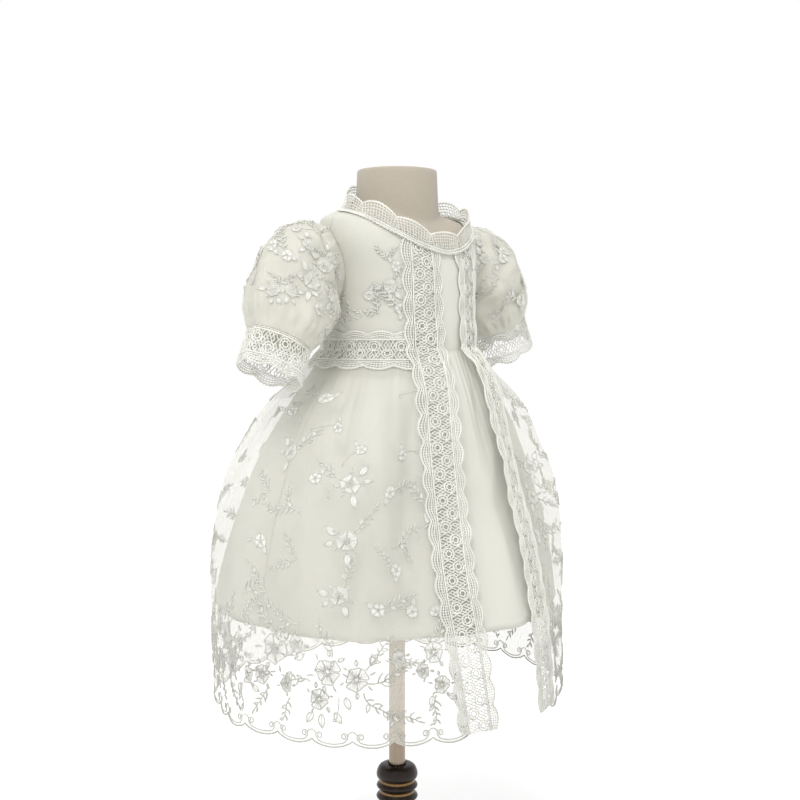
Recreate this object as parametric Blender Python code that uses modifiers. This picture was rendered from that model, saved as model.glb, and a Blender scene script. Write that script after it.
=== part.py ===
"""A christening gown on its dress form.

The gown is a satin dress with puff sleeves under a sheer overskirt that is open at the front. Scalloped
guipure lace trims both front edges, the waist, the neck and the cuffs. A limbless, cloth-covered child's form
on a metal pole and a turned wooden base wears it.

Frame: +Z up, the gown faces -Y, and the wearer's left is +X. The origin is the centre of the base's
underside, on the pole's axis. The tables below are in millimetres; the meshes are in metres.

Two coordinates place everything on the figure. The turn is the angle round the pole's axis in degrees, 0 at
the centre front and positive towards the wearer's left. The level runs from -1 at a skirt's hem through 0 at
the waist seam to 1 at the neckline.
"""

import math
from collections import namedtuple

import bmesh
import bpy
from mathutils import Vector
from mathutils.bvhtree import BVHTree

MM = 0.001

# ---------------------------------------------------------------- driving sizes, in millimetres
CLOTH = 1.2  # wall of a cloth panel
LACE = 1.2  # wall of the guipure lace
SEAM = 0.3  # clearance at a seam, and between pieces that touch
WAIST_Z = 573.0
SKIRT_TOP = WAIST_Z - 1.0  # the skirts' flaring walls rise towards the seam by the rest
BODICE_OFF_FORM = 0.9  # inner face of the bodice above the form
BODICE_FACE = BODICE_OFF_FORM + CLOTH  # outer face of the bodice above the form
SIDE_SEAM_TURN = 95.0
LACE_LIFT = 1.0  # inner face of the lace above what it lies on, which its flat facets need
LACE_FEEL = 5.0  # it clears what is under it as far as this around each point
LACE_RAY = 12.0
COLLAR_WIDTH = 19.0  # how far the collar reaches below the neckline
COLLAR_STANDS = 3.0  # how far its scallops stand above the neckline
COLLAR_CUSP = 4.0  # how far below the neckline they meet
COLLAR_SCALLOPS = 13
COLLAR_ROUNDNESS = 0.8  # below 1 the scallops are fuller than a sine
COLLAR_SEWN = 0.6  # share of its width at which its plain part ends
COLLAR_FEEL = 5.5

# One ring round the form: heights at the front, the sides and the back, and the half-axes of its ellipse.
BodyRing = namedtuple("BodyRing", "level front_z side_z back_z half_width front_depth back_depth")

BODY_RINGS = (
    BodyRing(-1.00, 452, 452, 452, 58.0, 50.0, 46.0),  # edge of the form's underside
    BodyRing(-0.85, 461, 461, 461, 73.0, 64.0, 59.0),
    BodyRing(-0.45, 506, 506, 506, 80.0, 71.0, 65.0),  # hip
    BodyRing(0.00, WAIST_Z, WAIST_Z, WAIST_Z, 77.5, 71.5, 65.0),  # waist
    BodyRing(0.35, 612, 612, 612, 79.0, 70.5, 66.0),
    BodyRing(0.60, 641, 645, 645, 82.0, 69.0, 66.0),  # chest
    BodyRing(0.80, 663, 678, 675, 88.0, 64.0, 61.0),
    BodyRing(0.90, 674, 695, 698, 85.0, 57.5, 54.0),  # shoulder
    BodyRing(0.96, 682, 702, 713, 66.0, 51.5, 47.0),
    BodyRing(1.00, 689, 707, 723, 46.0, 46.0, 41.0),  # neckline
    BodyRing(1.05, 696, 714, 729, 41.0, 41.5, 39.5),
    BodyRing(1.30, 745, 745, 745, 39.0, 39.0, 39.0),  # top of the neck
)

# One ring round a skirt: an ellipse, squarer at the back by its superellipse's exponent. Between the front
# trims, which weigh the cloth down, it follows the arc front_round for a share from 0 to 1.
SkirtRing = namedtuple("SkirtRing", "level z half_width front_depth back_depth back_square front_round share")
FRONT_ARC = 33.0  # the arc's half-width in degrees of turn
ARC_BLEND = 25.0  # and the stretch over which it joins the ellipse

UNDERSKIRT_RINGS = (
    SkirtRing(-1.00, 320, 163, 155, 167, 2.3, 150, 1.0),  # hem
    SkirtRing(-0.95, 333, 161, 153, 165, 2.3, 147, 1.0),
    SkirtRing(-0.77, 379, 153, 146, 157, 2.2, 134, 1.0),
    SkirtRing(-0.56, 430, 140, 128, 145, 2.1, 116, 1.0),
    SkirtRing(-0.41, 469, 127, 115, 132, 2.0, 106, 1.0),
    SkirtRing(-0.31, 494, 115, 106, 117, 2.0, 100, 1.0),
    SkirtRing(-0.17, 529, 95, 90, 93, 2.0, 89, 1.0),
    SkirtRing(-0.08, 553, 84, 78, 76, 2.0, 79, 0.6),
    SkirtRing(0.00, SKIRT_TOP, 78.0, 72.0, 65.5, 2.0, 73, 0.0),
)
OVERSKIRT_RINGS = (
    SkirtRing(-1.00, 233, 173, 157, 175, 2.1, 159, 1.0),  # cusps of the scalloped hem
    SkirtRing(-0.80, 302, 175, 153, 177, 2.1, 155, 1.0),
    SkirtRing(-0.66, 350, 176, 152, 175, 2.1, 147, 1.0),
    SkirtRing(-0.53, 394, 174, 149, 171, 2.05, 137, 1.0),
    SkirtRing(-0.39, 439, 167, 142, 163, 2.0, 123, 1.0),
    SkirtRing(-0.28, 478, 151, 125, 146, 2.0, 113, 1.0),
    SkirtRing(-0.16, 517, 129, 108, 121, 2.0, 104, 1.0),
    SkirtRing(-0.11, 535, 110, 101, 103, 2.0, 99, 1.0),
    SkirtRing(-0.055, 554, 92, 88, 84, 2.0, 88, 0.8),
    SkirtRing(0.00, SKIRT_TOP, 79.5, 73.5, 67.0, 2.0, 75, 0.0),
)
# Heights of the rows of points that both skirts share, so that their facets stay apart
SKIRT_ROWS = (561, 545, 518, 480, 430, 375)
UNDERSKIRT_FRONT_COLUMNS = 35
UNDERSKIRT_BACK_COLUMNS = 31

# A soft fold that stands out from a skirt: where its ridge is, how wide it is, and how deep below the waist
# and at the hem.
Fold = namedtuple("Fold", "turn half_width upper_depth hem_depth")

SKIRT_FOLDS = (
    Fold(-168, 17, 4.5, 4.0),
    Fold(-138, 15, 4.5, 4.0),
    Fold(-107, 16, 4.0, 5.0),
    Fold(-80, 12, 5.0, 2.0),
    Fold(-57, 11, 6.0, 3.5),
    Fold(0, 10, 2.5, 5.0),
    Fold(56, 11, 6.5, 4.0),
    Fold(82, 13, 4.0, 2.5),
    Fold(110, 15, 4.5, 5.0),
    Fold(140, 14, 5.0, 4.0),
    Fold(166, 13, 4.0, 4.5),
)
OVERSKIRT_FOLDS = (
    Fold(-158, 14, 3.0, 6.0),
    Fold(-127, 13, 3.0, 4.0),
    Fold(-96, 13, 4.0, 7.0),
    Fold(-68, 11, 2.0, 4.0),
    Fold(-46, 10, 1.0, 3.0),
    Fold(47, 10, 1.0, 4.0),
    Fold(70, 12, 3.0, 4.0),
    Fold(98, 13, 3.0, 7.0),
    Fold(127, 13, 4.0, 4.0),
    Fold(154, 13, 3.0, 7.0),
)
BUST_COLUMNS = 19  # points round half of the figure
# Rows of points up the bodice, which the form below it shares so that their facets stay apart
BODICE_LEVELS = (0.0, 0.17, 0.34, 0.50, 0.64, 0.76, 0.84, 0.89, 0.93, 0.965, 1.0)
HIP_LEVELS = (-1.0, -0.93, -0.80, -0.45)
NECK_LEVELS = (1.04, 1.28)
# The neck's rounded top: each ring's share of the neck's radius, and its height above the table's last ring
CapRing = namedtuple("CapRing", "share rise")
NECK_CAP = (CapRing(0.93, 0.6), CapRing(0.78, 2.2))

UPPER_FOLD_DROP = 0.28  # share of the skirt's length at which a fold has its upper depth
GATHERS = 18  # small gathers under the waist seam, all round
GATHER_DEPTH = 1.5
GATHER_DROP = 0.07

# The middle of each front trim, as a turn away from the centre front
TrimPoint = namedtuple("TrimPoint", "level right left")
TRIM_PATH = (
    TrimPoint(-1.00, 17.3, 18.0),
    TrimPoint(-0.78, 21.0, 16.5),
    TrimPoint(-0.53, 24.0, 18.5),
    TrimPoint(-0.28, 24.0, 21.0),
    TrimPoint(0.00, 24.0, 22.5),
    TrimPoint(0.45, 25.0, 25.0),
    TrimPoint(1.00, 27.0, 27.0),
)
TRIM_TOP_BELOW = 7.0  # how far below the neckline the trims start, under the collar
FRONT_TRIM_LIFT = 1.7
WAIST_TRIM_TUCK = 10.0  # the waist trim starts this many degrees outside a front trim's middle

# The guipure trim: a latticed band with open eyes between two scalloped borders.
BAND_HALF = 11.0
BORDER = 9.5
SCALLOP_REPEAT = 24.0
SCALLOP_DEPTH = 4.0
COLUMNS_PER_SCALLOP = 4  # points along a scallop, in the trims and the collar
EYE_HALF = 3.2  # half the diagonal of an eye
EYE_SHIFT = 4.0  # eyes lie this far on either side of the middle, in turn

# The overskirt's hem
OVERSKIRT_LAST_ROW = 242  # height of the last full row of its panels, above the scallops
HEM_SCALLOP_DEPTH = 6.0
HEM_POINTS_PER_SCALLOP = 4
HEM_ROUNDNESS = 0.7  # below 1 the scallops are fuller than a sine
FRONT_SCALLOPS = 6
BACK_SCALLOPS = 15

# The sleeve, from the armhole to the cuff, on the wearer's left. out and back place the ring's middle from
# the pole's axis, and tilt turns the ring from upright (0) towards level (90).
SleeveRing = namedtuple("SleeveRing", "along out back z tilt half_height half_depth")
SLEEVE_RINGS = (
    SleeveRing(0.00, 88, 11, 651, 0, 38, 26),
    SleeveRing(0.12, 98, 10, 650, 10, 42, 31),
    SleeveRing(0.30, 110, 8, 643, 24, 46, 36),
    SleeveRing(0.50, 124, 5, 634, 38, 47, 39),
    SleeveRing(0.70, 136, 3, 614, 50, 42, 40),
    SleeveRing(0.86, 145, 1, 598, 57, 37.5, 37),
    SleeveRing(0.95, 149, 0, 588.5, 61, 32, 32),
    SleeveRing(1.00, 151, 0, 583, 62, 30.5, 30.5),
)
SLEEVE_WAVES = 9  # small gathers round the arm
WAVE_DEPTH = 1.3
SLEEVE_FOLDS = 3  # broad folds that wind round the puff
SLEEVE_FOLD_DEPTH = 2.2
SLEEVE_ALONGS = (0.0, 0.10, 0.25, 0.42, 0.60, 0.77, 0.91, 1.0)
SLEEVE_COLUMNS = 27
ARMHOLE_OUT = 88.0
ARMHOLE_Z = 651.0
ARMHOLE_BACK = 11.0
ARMHOLE_HALF_HEIGHT = 34.0
ARMHOLE_HALF_DEPTH = 22.0
LEFT_SLEEVE_LIFT = 14.0  # the wearer's left sleeve sits higher than the right one
CUFF_LENGTH = 33.0
SLEEVE_SEAM = 0.8  # the sleeve's first ring lies this far above the bodice
CUFF_TOP = 2.0  # plain strip of lace above the cuff's band
CUFF_SEAM = 1.0  # the cuff starts this far below the sleeve's end
CUFF_LEAN = 21.0  # degrees that it hangs outwards
CUFF_FLARE = 0.03
CUFF_RUFFLE = 1.2
CUFF_BLOCKS = 6  # lace blocks in half a cuff

# The stand
POLE_RADIUS = 8.3
POLE_FOOT_Z = 92.0
NECK_FOOT_Z = 30.0
ProfilePoint = namedtuple("ProfilePoint", "radius z")
TURNED_NECK = (
    ProfilePoint(0.0, POLE_FOOT_Z - SEAM),
    ProfilePoint(POLE_RADIUS + SEAM, POLE_FOOT_Z - SEAM),
    ProfilePoint(POLE_RADIUS + SEAM, 151.0),
    ProfilePoint(11.0, 153.0),
    ProfilePoint(17.5, 151.0),
    ProfilePoint(20.6, 145.0),
    ProfilePoint(20.4, 140.0),
    ProfilePoint(17.2, 136.0),
    ProfilePoint(20.8, 131.0),
    ProfilePoint(17.4, 125.5),
    ProfilePoint(21.0, 120.0),
    ProfilePoint(17.6, 114.0),
    ProfilePoint(21.0, 104.0),
    ProfilePoint(20.0, 82.0),
    ProfilePoint(19.0, 62.0),
    ProfilePoint(22.0, 46.0),
    ProfilePoint(33.0, NECK_FOOT_Z),
    ProfilePoint(0.0, NECK_FOOT_Z),
)
BASE_DISC = (
    ProfilePoint(0.0, NECK_FOOT_Z - SEAM),
    ProfilePoint(36.0, NECK_FOOT_Z - SEAM),
    ProfilePoint(60.0, 25.0),
    ProfilePoint(105.0, 20.5),
    ProfilePoint(119.0, 16.5),
    ProfilePoint(124.0, 9.0),
    ProfilePoint(123.0, 2.0),
    ProfilePoint(120.0, 0.0),
    ProfilePoint(0.0, 0.0),
)

BUTTON_LEVELS = (0.28, 0.52, 0.76)
BUTTON_RADIUS = 4.5
BUTTON_HEIGHT = 3.0
BUTTON_TURN = 184.5
BUTTON_OFF = 0.5  # underside of a button above the bodice, which is curved
BUTTON_EDGE = 1.0

# Finish of each material: linear colour, roughness, metallic.
Finish = namedtuple("Finish", "red green blue roughness metallic")
FINISHES = {
    "satin": Finish(0.78, 0.77, 0.69, 0.45, 0.0),
    "organza": Finish(0.86, 0.86, 0.80, 0.60, 0.0),
    "guipure": Finish(0.84, 0.82, 0.74, 0.85, 0.0),
    "form_cloth": Finish(0.46, 0.41, 0.33, 0.90, 0.0),
    "pole_metal": Finish(0.60, 0.56, 0.52, 0.25, 1.0),
    "dark_wood": Finish(0.045, 0.025, 0.016, 0.35, 0.0),
    "pearl": Finish(0.85, 0.83, 0.78, 0.25, 0.0),
}


# ---------------------------------------------------------------- curves through the tables
def slopes(xs, ys):
    """Slopes of a smooth curve through the points that never overshoots them."""
    steps = [(b - a) / (xb - xa) for a, b, xa, xb in zip(ys, ys[1:], xs, xs[1:])]
    inner = [0.0 if a * b <= 0 else 2 * a * b / (a + b) for a, b in zip(steps, steps[1:])]
    return [steps[0], *inner, steps[-1]]


def smooth(rows, key, column, at):
    """The value of one column of a table, on a smooth curve through its rows."""
    xs = [getattr(row, key) for row in rows]
    ys = [getattr(row, column) for row in rows]
    at = min(max(at, xs[0]), xs[-1])
    i = max(k for k in range(len(xs) - 1) if k == 0 or xs[k] <= at)
    width = xs[i + 1] - xs[i]
    t = (at - xs[i]) / width
    m = slopes(xs, ys)
    return (
        (1 + 2 * t) * (1 - t) ** 2 * ys[i]
        + t * (1 - t) ** 2 * width * m[i]
        + t * t * (3 - 2 * t) * ys[i + 1]
        + t * t * (t - 1) * width * m[i + 1]
    )


def ease(t):
    """0 to 1, with a soft start and end."""
    t = min(max(t, 0.0), 1.0)
    return t * t * (3 - 2 * t)


# ---------------------------------------------------------------- surfaces of the figure and the skirts
def row_at(rows, at):
    """The table's row at a place between its rows, by its first column."""
    kind = type(rows[0])
    key = kind._fields[0]
    return kind(at, *(smooth(rows, key, name, at) for name in kind._fields[1:]))


def superellipse(across, ahead, half_width, depth, square):
    """The radius in the direction (across, ahead)."""
    return (abs(across / half_width) ** square + abs(ahead / depth) ** square) ** (-1 / square)


def body_ring_point(turn, level):
    """A point on the form, in millimetres."""
    ring = row_at(BODY_RINGS, level)
    across, ahead = math.sin(math.radians(turn)), math.cos(math.radians(turn))
    depth, end_z = (ring.front_depth, ring.front_z) if ahead > 0 else (ring.back_depth, ring.back_z)
    radius = superellipse(across, ahead, ring.half_width, depth, 2.0)
    return Vector((radius * across, -radius * ahead, ring.side_z + (end_z - ring.side_z) * ahead * ahead))


def skirt_ring_point(rings, turn, level, out):
    """A point on a skirt, moved out level from its ring."""
    ring = row_at(rings, level)
    across, ahead = math.sin(math.radians(turn)), math.cos(math.radians(turn))
    depth, square = (ring.front_depth, 2.0) if ahead > 0 else (ring.back_depth, ring.back_square)
    radius = superellipse(across, ahead, ring.half_width, depth, square)
    arc = ring.share * (1 - ease((away(turn, 0) - FRONT_ARC) / ARC_BLEND))
    radius += arc * (ring.front_round - radius) + out
    return Vector((radius * across, -radius * ahead, ring.z))


def away(turn, other):
    """The smallest angle between two turns, in degrees."""
    return abs((turn - other + 180) % 360 - 180)


def fold_depth(folds, turn, drop):
    """How far the folds stand out at a turn, for a share of the skirt's length below the waist."""
    share = ease(drop / UPPER_FOLD_DROP)
    lower = ease((drop - UPPER_FOLD_DROP) / (1 - UPPER_FOLD_DROP))
    total = 0.0
    for fold in folds:
        reach = away(turn, fold.turn) / fold.half_width
        if reach < 1:
            depth = fold.upper_depth + (fold.hem_depth - fold.upper_depth) * lower
            total += depth * share * (1 + math.cos(math.pi * reach)) / 2
    return total


def gather_depth(turn, drop):
    """Small even gathers that start at the waist seam and fade out below it."""
    swell = drop / GATHER_DROP * math.exp(1 - drop / GATHER_DROP)
    return GATHER_DEPTH * swell * (1 + math.cos(math.radians(turn * GATHERS))) / 2


def body_point(turn, level, out=0.0):
    """A point on the form, moved out along its surface."""
    return moved_out(body_ring_point, turn, level, out) if out else body_ring_point(turn, level)


def drop_at(rings, level):
    """How far below the waist a level is, as a share of the underskirt's length."""
    return (WAIST_Z - smooth(rings, "level", "z", level)) / (WAIST_Z - UNDERSKIRT_RINGS[0].z)


def level_at_height(rings, z):
    """The level of a skirt's ring at a height."""
    low, high = rings[0].level, 0.0
    while high - low > 1e-5:
        middle = (low + high) / 2
        low, high = (middle, high) if smooth(rings, "level", "z", middle) < z else (low, middle)
    return (low + high) / 2


def underskirt_point(turn, level):
    drop = drop_at(UNDERSKIRT_RINGS, level)
    out = fold_depth(SKIRT_FOLDS, turn, drop) + gather_depth(turn, drop)
    return skirt_ring_point(UNDERSKIRT_RINGS, turn, level, out)


def overskirt_point(turn, level):
    drop = drop_at(OVERSKIRT_RINGS, level)
    out = fold_depth(SKIRT_FOLDS, turn, min(drop, 1.0)) + gather_depth(turn, drop)
    out += fold_depth(OVERSKIRT_FOLDS, turn, -level)
    return skirt_ring_point(OVERSKIRT_RINGS, turn, level, out)


def surface_axes(surface, turn, level):
    """The surface's directions round the figure and up it, and its normal."""
    along = (surface(turn + 0.5, level) - surface(turn - 0.5, level)).normalized()
    up = (surface(turn, level + 0.005) - surface(turn, level - 0.005)).normalized()
    return along, up, along.cross(up).normalized()


def moved_out(surface, turn, level, out):
    """The surface's point, moved out along the surface's own normal."""
    return surface(turn, level) + surface_axes(surface, turn, level)[2] * out


def garment_point(turn, level):
    """The outer face of the garment: the overskirt below the waist, and the bodice above it."""
    above = ease((level + 0.015) / 0.06)
    low = moved_out(overskirt_point, turn, min(level, -0.001), CLOTH) if above < 1 else Vector()
    high = body_point(turn, max(level, 0.0), BODICE_FACE) if above > 0 else Vector()
    return low * (1 - above) + high * above


def trim_turn(side, level):
    """The turn of a front trim's middle. side is 1 for the wearer's left and -1 for the right."""
    return side * smooth(TRIM_PATH, "level", SIDE_NAMES[side], level)


def millimetre_turn(level, turn):
    """How many degrees of turn one millimetre is, on the garment's outer face."""
    return 1.0 / (garment_point(turn + 0.5, level) - garment_point(turn - 0.5, level)).length


def level_below_neckline(turn, distance):
    """The level of the point that lies that far below the neckline, measured down the bodice."""
    level, step, left = 1.0, 0.002, abs(distance)
    step = -step if distance > 0 else step
    here = body_point(turn, level, BODICE_FACE)
    while left > 0:
        there = body_point(turn, level + step, BODICE_FACE)
        length = (there - here).length
        if length >= left:
            return level + step * left / length
        left -= length
        level += step
        here = there
    return level


# ---------------------------------------------------------------- making objects
def empty_scene():
    for obj in list(bpy.data.objects):
        bpy.data.objects.remove(obj)


def material(name):
    made = bpy.data.materials.get(name)
    if made:
        return made
    finish = FINISHES[name]
    made = bpy.data.materials.new(name)
    made.use_nodes = True
    shader = made.node_tree.nodes["Principled BSDF"]
    shader.inputs["Base Color"].default_value = (finish.red, finish.green, finish.blue, 1.0)
    shader.inputs["Roughness"].default_value = finish.roughness
    shader.inputs["Metallic"].default_value = finish.metallic
    return made


def collection(name, hidden=False):
    made = bpy.data.collections.new(name)
    bpy.context.scene.collection.children.link(made)
    made.hide_render = hidden
    return made


def add_mesh(name, points, faces, finish, edges=()):
    """A named object from points in millimetres."""
    mesh = bpy.data.meshes.new(name)
    mesh.from_pydata([Vector(p) * MM for p in points], edges, faces)
    mesh.materials.append(material(finish))
    obj = bpy.data.objects.new(name, mesh)
    GOWN.objects.link(obj)
    return obj


def face_outwards(obj, inside):
    """Turns an open surface so that its faces point away from the inside point that belongs to each."""
    side = sum((f.center - inside(f.center)).dot(f.normal) * f.area for f in obj.data.polygons)
    if side < 0:
        obj.data.flip_normals()


def axis_point(point):
    return Vector((0.0, 0.0, point.z))


def thicken(obj, thickness):
    """Gives an open surface its wall, outwards, and smooth shading."""
    wall = obj.modifiers.new("wall", "SOLIDIFY")
    wall.thickness = thickness * MM
    wall.offset = 1.0
    wall.use_even_offset = True
    wall.use_quality_normals = True
    obj.data.shade_smooth()
    return obj


def grid_faces(rows, columns, closed=False):
    """Quads of a grid whose points are listed row by row."""
    last = columns if closed else columns - 1
    return [
        (r * columns + c, r * columns + n, (r + 1) * columns + n, (r + 1) * columns + c)
        for r in range(rows - 1)
        for c, n in ((c, (c + 1) % columns) for c in range(last))
    ]


def spread(first, last, count):
    return [first + (last - first) * i / (count - 1) for i in range(count)]


def seam_at(turn):
    """A seam that runs straight down at one turn, as cloth_panel reads it."""
    return lambda level: turn


def cloth_panel(name, surface, first_turn, last_turn, levels, columns):
    """A panel between two seams. first_turn and last_turn give the seams' turns at a level."""
    points = []
    for level in levels:
        gap = math.degrees(SEAM / 2 / surface(first_turn(level), level).xy.length)
        turns = spread(first_turn(level) + gap, last_turn(level) - gap, columns)
        points += [surface(turn, level) for turn in turns]
    obj = add_mesh(name, points, grid_faces(len(levels), columns), "satin")
    face_outwards(obj, axis_point)
    return thicken(obj, CLOTH)


def scalloped_panel(name, first_turn, last_turn, levels, scallops):
    """A panel of the overskirt, whose last row follows the scallops of the lace's edge."""
    columns = 2 * scallops + 1
    points = []
    for level in levels:
        gap = math.degrees(SEAM / 2 / overskirt_point(first_turn(level), level).xy.length)
        turns = spread(first_turn(level) + gap, last_turn(level) - gap, columns)
        points += [overskirt_point(turn, level) for turn in turns]
    faces = grid_faces(len(levels), columns)
    hem_points = 2 * (columns - 1) + 1
    first_hem = len(points)
    for k, turn in enumerate(spread(turns[0], turns[-1], hem_points)):
        point = overskirt_point(turn, -1.0)
        point.z -= HEM_SCALLOP_DEPTH * abs(math.sin(math.pi * k / HEM_POINTS_PER_SCALLOP)) ** HEM_ROUNDNESS
        points.append(point)
    above = (len(levels) - 1) * columns
    faces += [
        (above + c, above + c + 1, first_hem + 2 * c + 2, first_hem + 2 * c + 1, first_hem + 2 * c)
        for c in range(columns - 1)
    ]
    obj = add_mesh(name, points, faces, "organza")
    face_outwards(obj, axis_point)
    return thicken(obj, CLOTH)


# ---------------------------------------------------------------- guipure lace
def outer_faces(objects):
    """The finished walls of some objects, in millimetres, for what lies on them."""
    graph = bpy.context.evaluated_depsgraph_get()
    points, faces = [], []
    for obj in objects:
        shown = obj.evaluated_get(graph)
        mesh = shown.to_mesh()
        first = len(points)
        points += [vertex.co / MM for vertex in mesh.vertices]
        faces += [tuple(first + i for i in face.vertices) for face in mesh.polygons]
        shown.to_mesh_clear()
    return BVHTree.FromPolygons(points, faces)


def resting(surface, turn, level, below, feel=LACE_FEEL, lift=LACE_LIFT):
    """The surface's point, raised until it is clear of the walls under it and close around it."""
    point = surface(turn, level)
    along, up, normal = surface_axes(surface, turn, level)
    height = 0.0
    for a, b in ((0, 0), (1, 0), (-1, 0), (0, 1), (0, -1)):
        start = point + (along * a + up * b) * feel + normal * LACE_RAY
        hit = below.ray_cast(start, -normal, LACE_RAY)
        if hit[0] is not None:
            height = max(height, LACE_RAY - hit[3])
    return point + normal * (height + lift)


def lace_band(name, place, blocks, low_border, high_border, inside):
    """A strip of lace with an open eye in each block and scallops along its borders.

    place(share, across) gives a point for a share of the strip's length and a distance from the band's middle.
    A border is its width and its scallops' depth.
    """
    columns = 2 * blocks + 1
    points, faces = [], []

    def row(across_of):
        start = len(points)
        points.extend(place(c / (2 * blocks), across_of(c)) for c in range(columns))
        return list(range(start, start + columns))

    def edge(border):
        width, depth = border
        swell = math.pi / COLUMNS_PER_SCALLOP
        return lambda c: BAND_HALF + width - depth * (1 - abs(math.sin(swell * c)))

    low_edge = row(lambda c: -edge(low_border)(c))
    low_line = row(lambda c: -BAND_HALF)
    high_line = row(lambda c: BAND_HALF)
    high_edge = row(lambda c: edge(high_border)(c))
    for b in range(blocks):
        left, middle, right = 2 * b, 2 * b + 1, 2 * b + 2
        shift = EYE_SHIFT if b % 2 else -EYE_SHIFT
        start = len(points)
        length = (Vector(points[low_line[right]]) - Vector(points[low_line[left]])).length
        reach = EYE_HALF / length / blocks
        centre = middle / (2 * blocks)
        points.extend(
            place(share, across)
            for share, across in (
                (centre - reach, shift),
                (centre, shift - EYE_HALF),
                (centre + reach, shift),
                (centre, shift + EYE_HALF),
            )
        )
        west, south, east, north = range(start, start + 4)
        faces += [
            (low_line[left], low_line[right], low_edge[right], low_edge[middle], low_edge[left]),
            (high_line[right], high_line[left], high_edge[left], high_edge[middle], high_edge[right]),
            (low_line[left], west, south),
            (low_line[left], south, low_line[right]),
            (low_line[right], south, east),
            (low_line[right], east, high_line[right]),
            (high_line[right], east, north),
            (high_line[right], north, high_line[left]),
            (high_line[left], north, west),
            (high_line[left], west, low_line[left]),
        ]
    obj = add_mesh(name, points, faces, "guipure")
    mesh = bmesh.new()
    mesh.from_mesh(obj.data)
    loose = [v for v in mesh.verts if not v.link_faces]
    bmesh.ops.delete(mesh, geom=loose, context="VERTS")
    bmesh.ops.recalc_face_normals(mesh, faces=mesh.faces)
    mesh.to_mesh(obj.data)
    mesh.free()
    face_outwards(obj, inside)
    return thicken(obj, LACE)


def front_trim(side, below):
    """The lace down one front edge, from under the collar to the hem."""
    top = level_below_neckline(trim_turn(side, 1.0), TRIM_TOP_BELOW)
    levels = spread(-1.0, top, 200)
    line = [garment_point(trim_turn(side, level), level) for level in levels]
    lengths = [0.0]
    for a, b in zip(line, line[1:]):
        lengths.append(lengths[-1] + (b - a).length)

    def level_at(share):
        wanted = share * lengths[-1]
        i = max(k for k in range(len(levels) - 1) if k == 0 or lengths[k] <= wanted)
        return levels[i] + (levels[i + 1] - levels[i]) * (wanted - lengths[i]) / (lengths[i + 1] - lengths[i])

    def place(share, across):
        level = level_at(share)
        middle = trim_turn(side, level)
        turn = middle + side * across * millimetre_turn(level, middle)
        return resting(garment_point, turn, level, below, lift=FRONT_TRIM_LIFT)

    blocks = round(lengths[-1] / (SCALLOP_REPEAT / 2))
    border = (BORDER, SCALLOP_DEPTH)
    return lace_band("front_trim_" + SIDE_NAMES[side], place, blocks, border, border, axis_point)


def waist_trim(side, below):
    """The lace round the waist, from under one front trim to the centre back."""
    first = side * trim_turn(side, 0.0) + WAIST_TRIM_TUCK
    last = 180 - math.degrees(SEAM / 2 / row_at(BODY_RINGS, 0.0).back_depth)
    level_per_mm = {
        -1: 0.05 / (garment_point(90, 0.0) - garment_point(90, -0.05)).length,
        1: 0.05 / (garment_point(90, 0.05) - garment_point(90, 0.0)).length,
    }

    def place(share, across):
        turn = side * (first + (last - first) * share)
        return resting(garment_point, turn, across * level_per_mm[1 if across > 0 else -1], below)

    length = (last - first) / 360 * 2 * math.pi * row_at(BODY_RINGS, 0.0).half_width
    blocks = 2 * round(length / SCALLOP_REPEAT)
    border = (BORDER, SCALLOP_DEPTH)
    return lace_band("waist_trim_" + SIDE_NAMES[side], place, blocks, border, border, axis_point)


def collar(below):
    """The scalloped lace round the neckline, open at the centre back."""
    columns = COLLAR_SCALLOPS * COLUMNS_PER_SCALLOP + 1
    last_turn = 180 - math.degrees(SEAM / 2 / row_at(BODY_RINGS, 1.0).back_depth)

    def surface(turn, level):
        return body_point(turn, level, BODICE_FACE)

    points = []
    for share in (1.0, COLLAR_SEWN):
        for turn in spread(-last_turn, last_turn, columns):
            level = level_below_neckline(turn, COLLAR_WIDTH * share)
            points.append(resting(surface, turn, level, below, COLLAR_FEEL))
    for c, turn in enumerate(spread(-last_turn, last_turn, columns)):
        swell = abs(math.sin(math.pi * c / COLUMNS_PER_SCALLOP)) ** COLLAR_ROUNDNESS
        cusp = resting(surface, turn, level_below_neckline(turn, COLLAR_CUSP), below, COLLAR_FEEL)
        points.append(cusp + Vector((0, 0, (COLLAR_CUSP + COLLAR_STANDS) * swell)))
    obj = add_mesh("collar_lace", points, grid_faces(3, columns), "guipure")
    face_outwards(obj, axis_point)
    return thicken(obj, LACE)


# ---------------------------------------------------------------- the bodice
def armhole_cutter(side):
    """An elliptical plug through the side of the bodice."""
    bpy.ops.mesh.primitive_cylinder_add(vertices=26, radius=MM, depth=60 * MM)
    cutter = bpy.context.object
    cutter.name = "armhole_cutter_" + SIDE_NAMES[side]
    for other in cutter.users_collection:
        other.objects.unlink(cutter)
    CUTTERS.objects.link(cutter)
    cutter.rotation_euler = (0.0, math.pi / 2, 0.0)
    cutter.scale = (ARMHOLE_HALF_HEIGHT, ARMHOLE_HALF_DEPTH, 1.0)
    cutter.location = Vector((side * ARMHOLE_OUT, ARMHOLE_BACK, ARMHOLE_Z)) * MM
    cutter.hide_render = True
    cutter.display_type = "WIRE"
    return cutter


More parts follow.
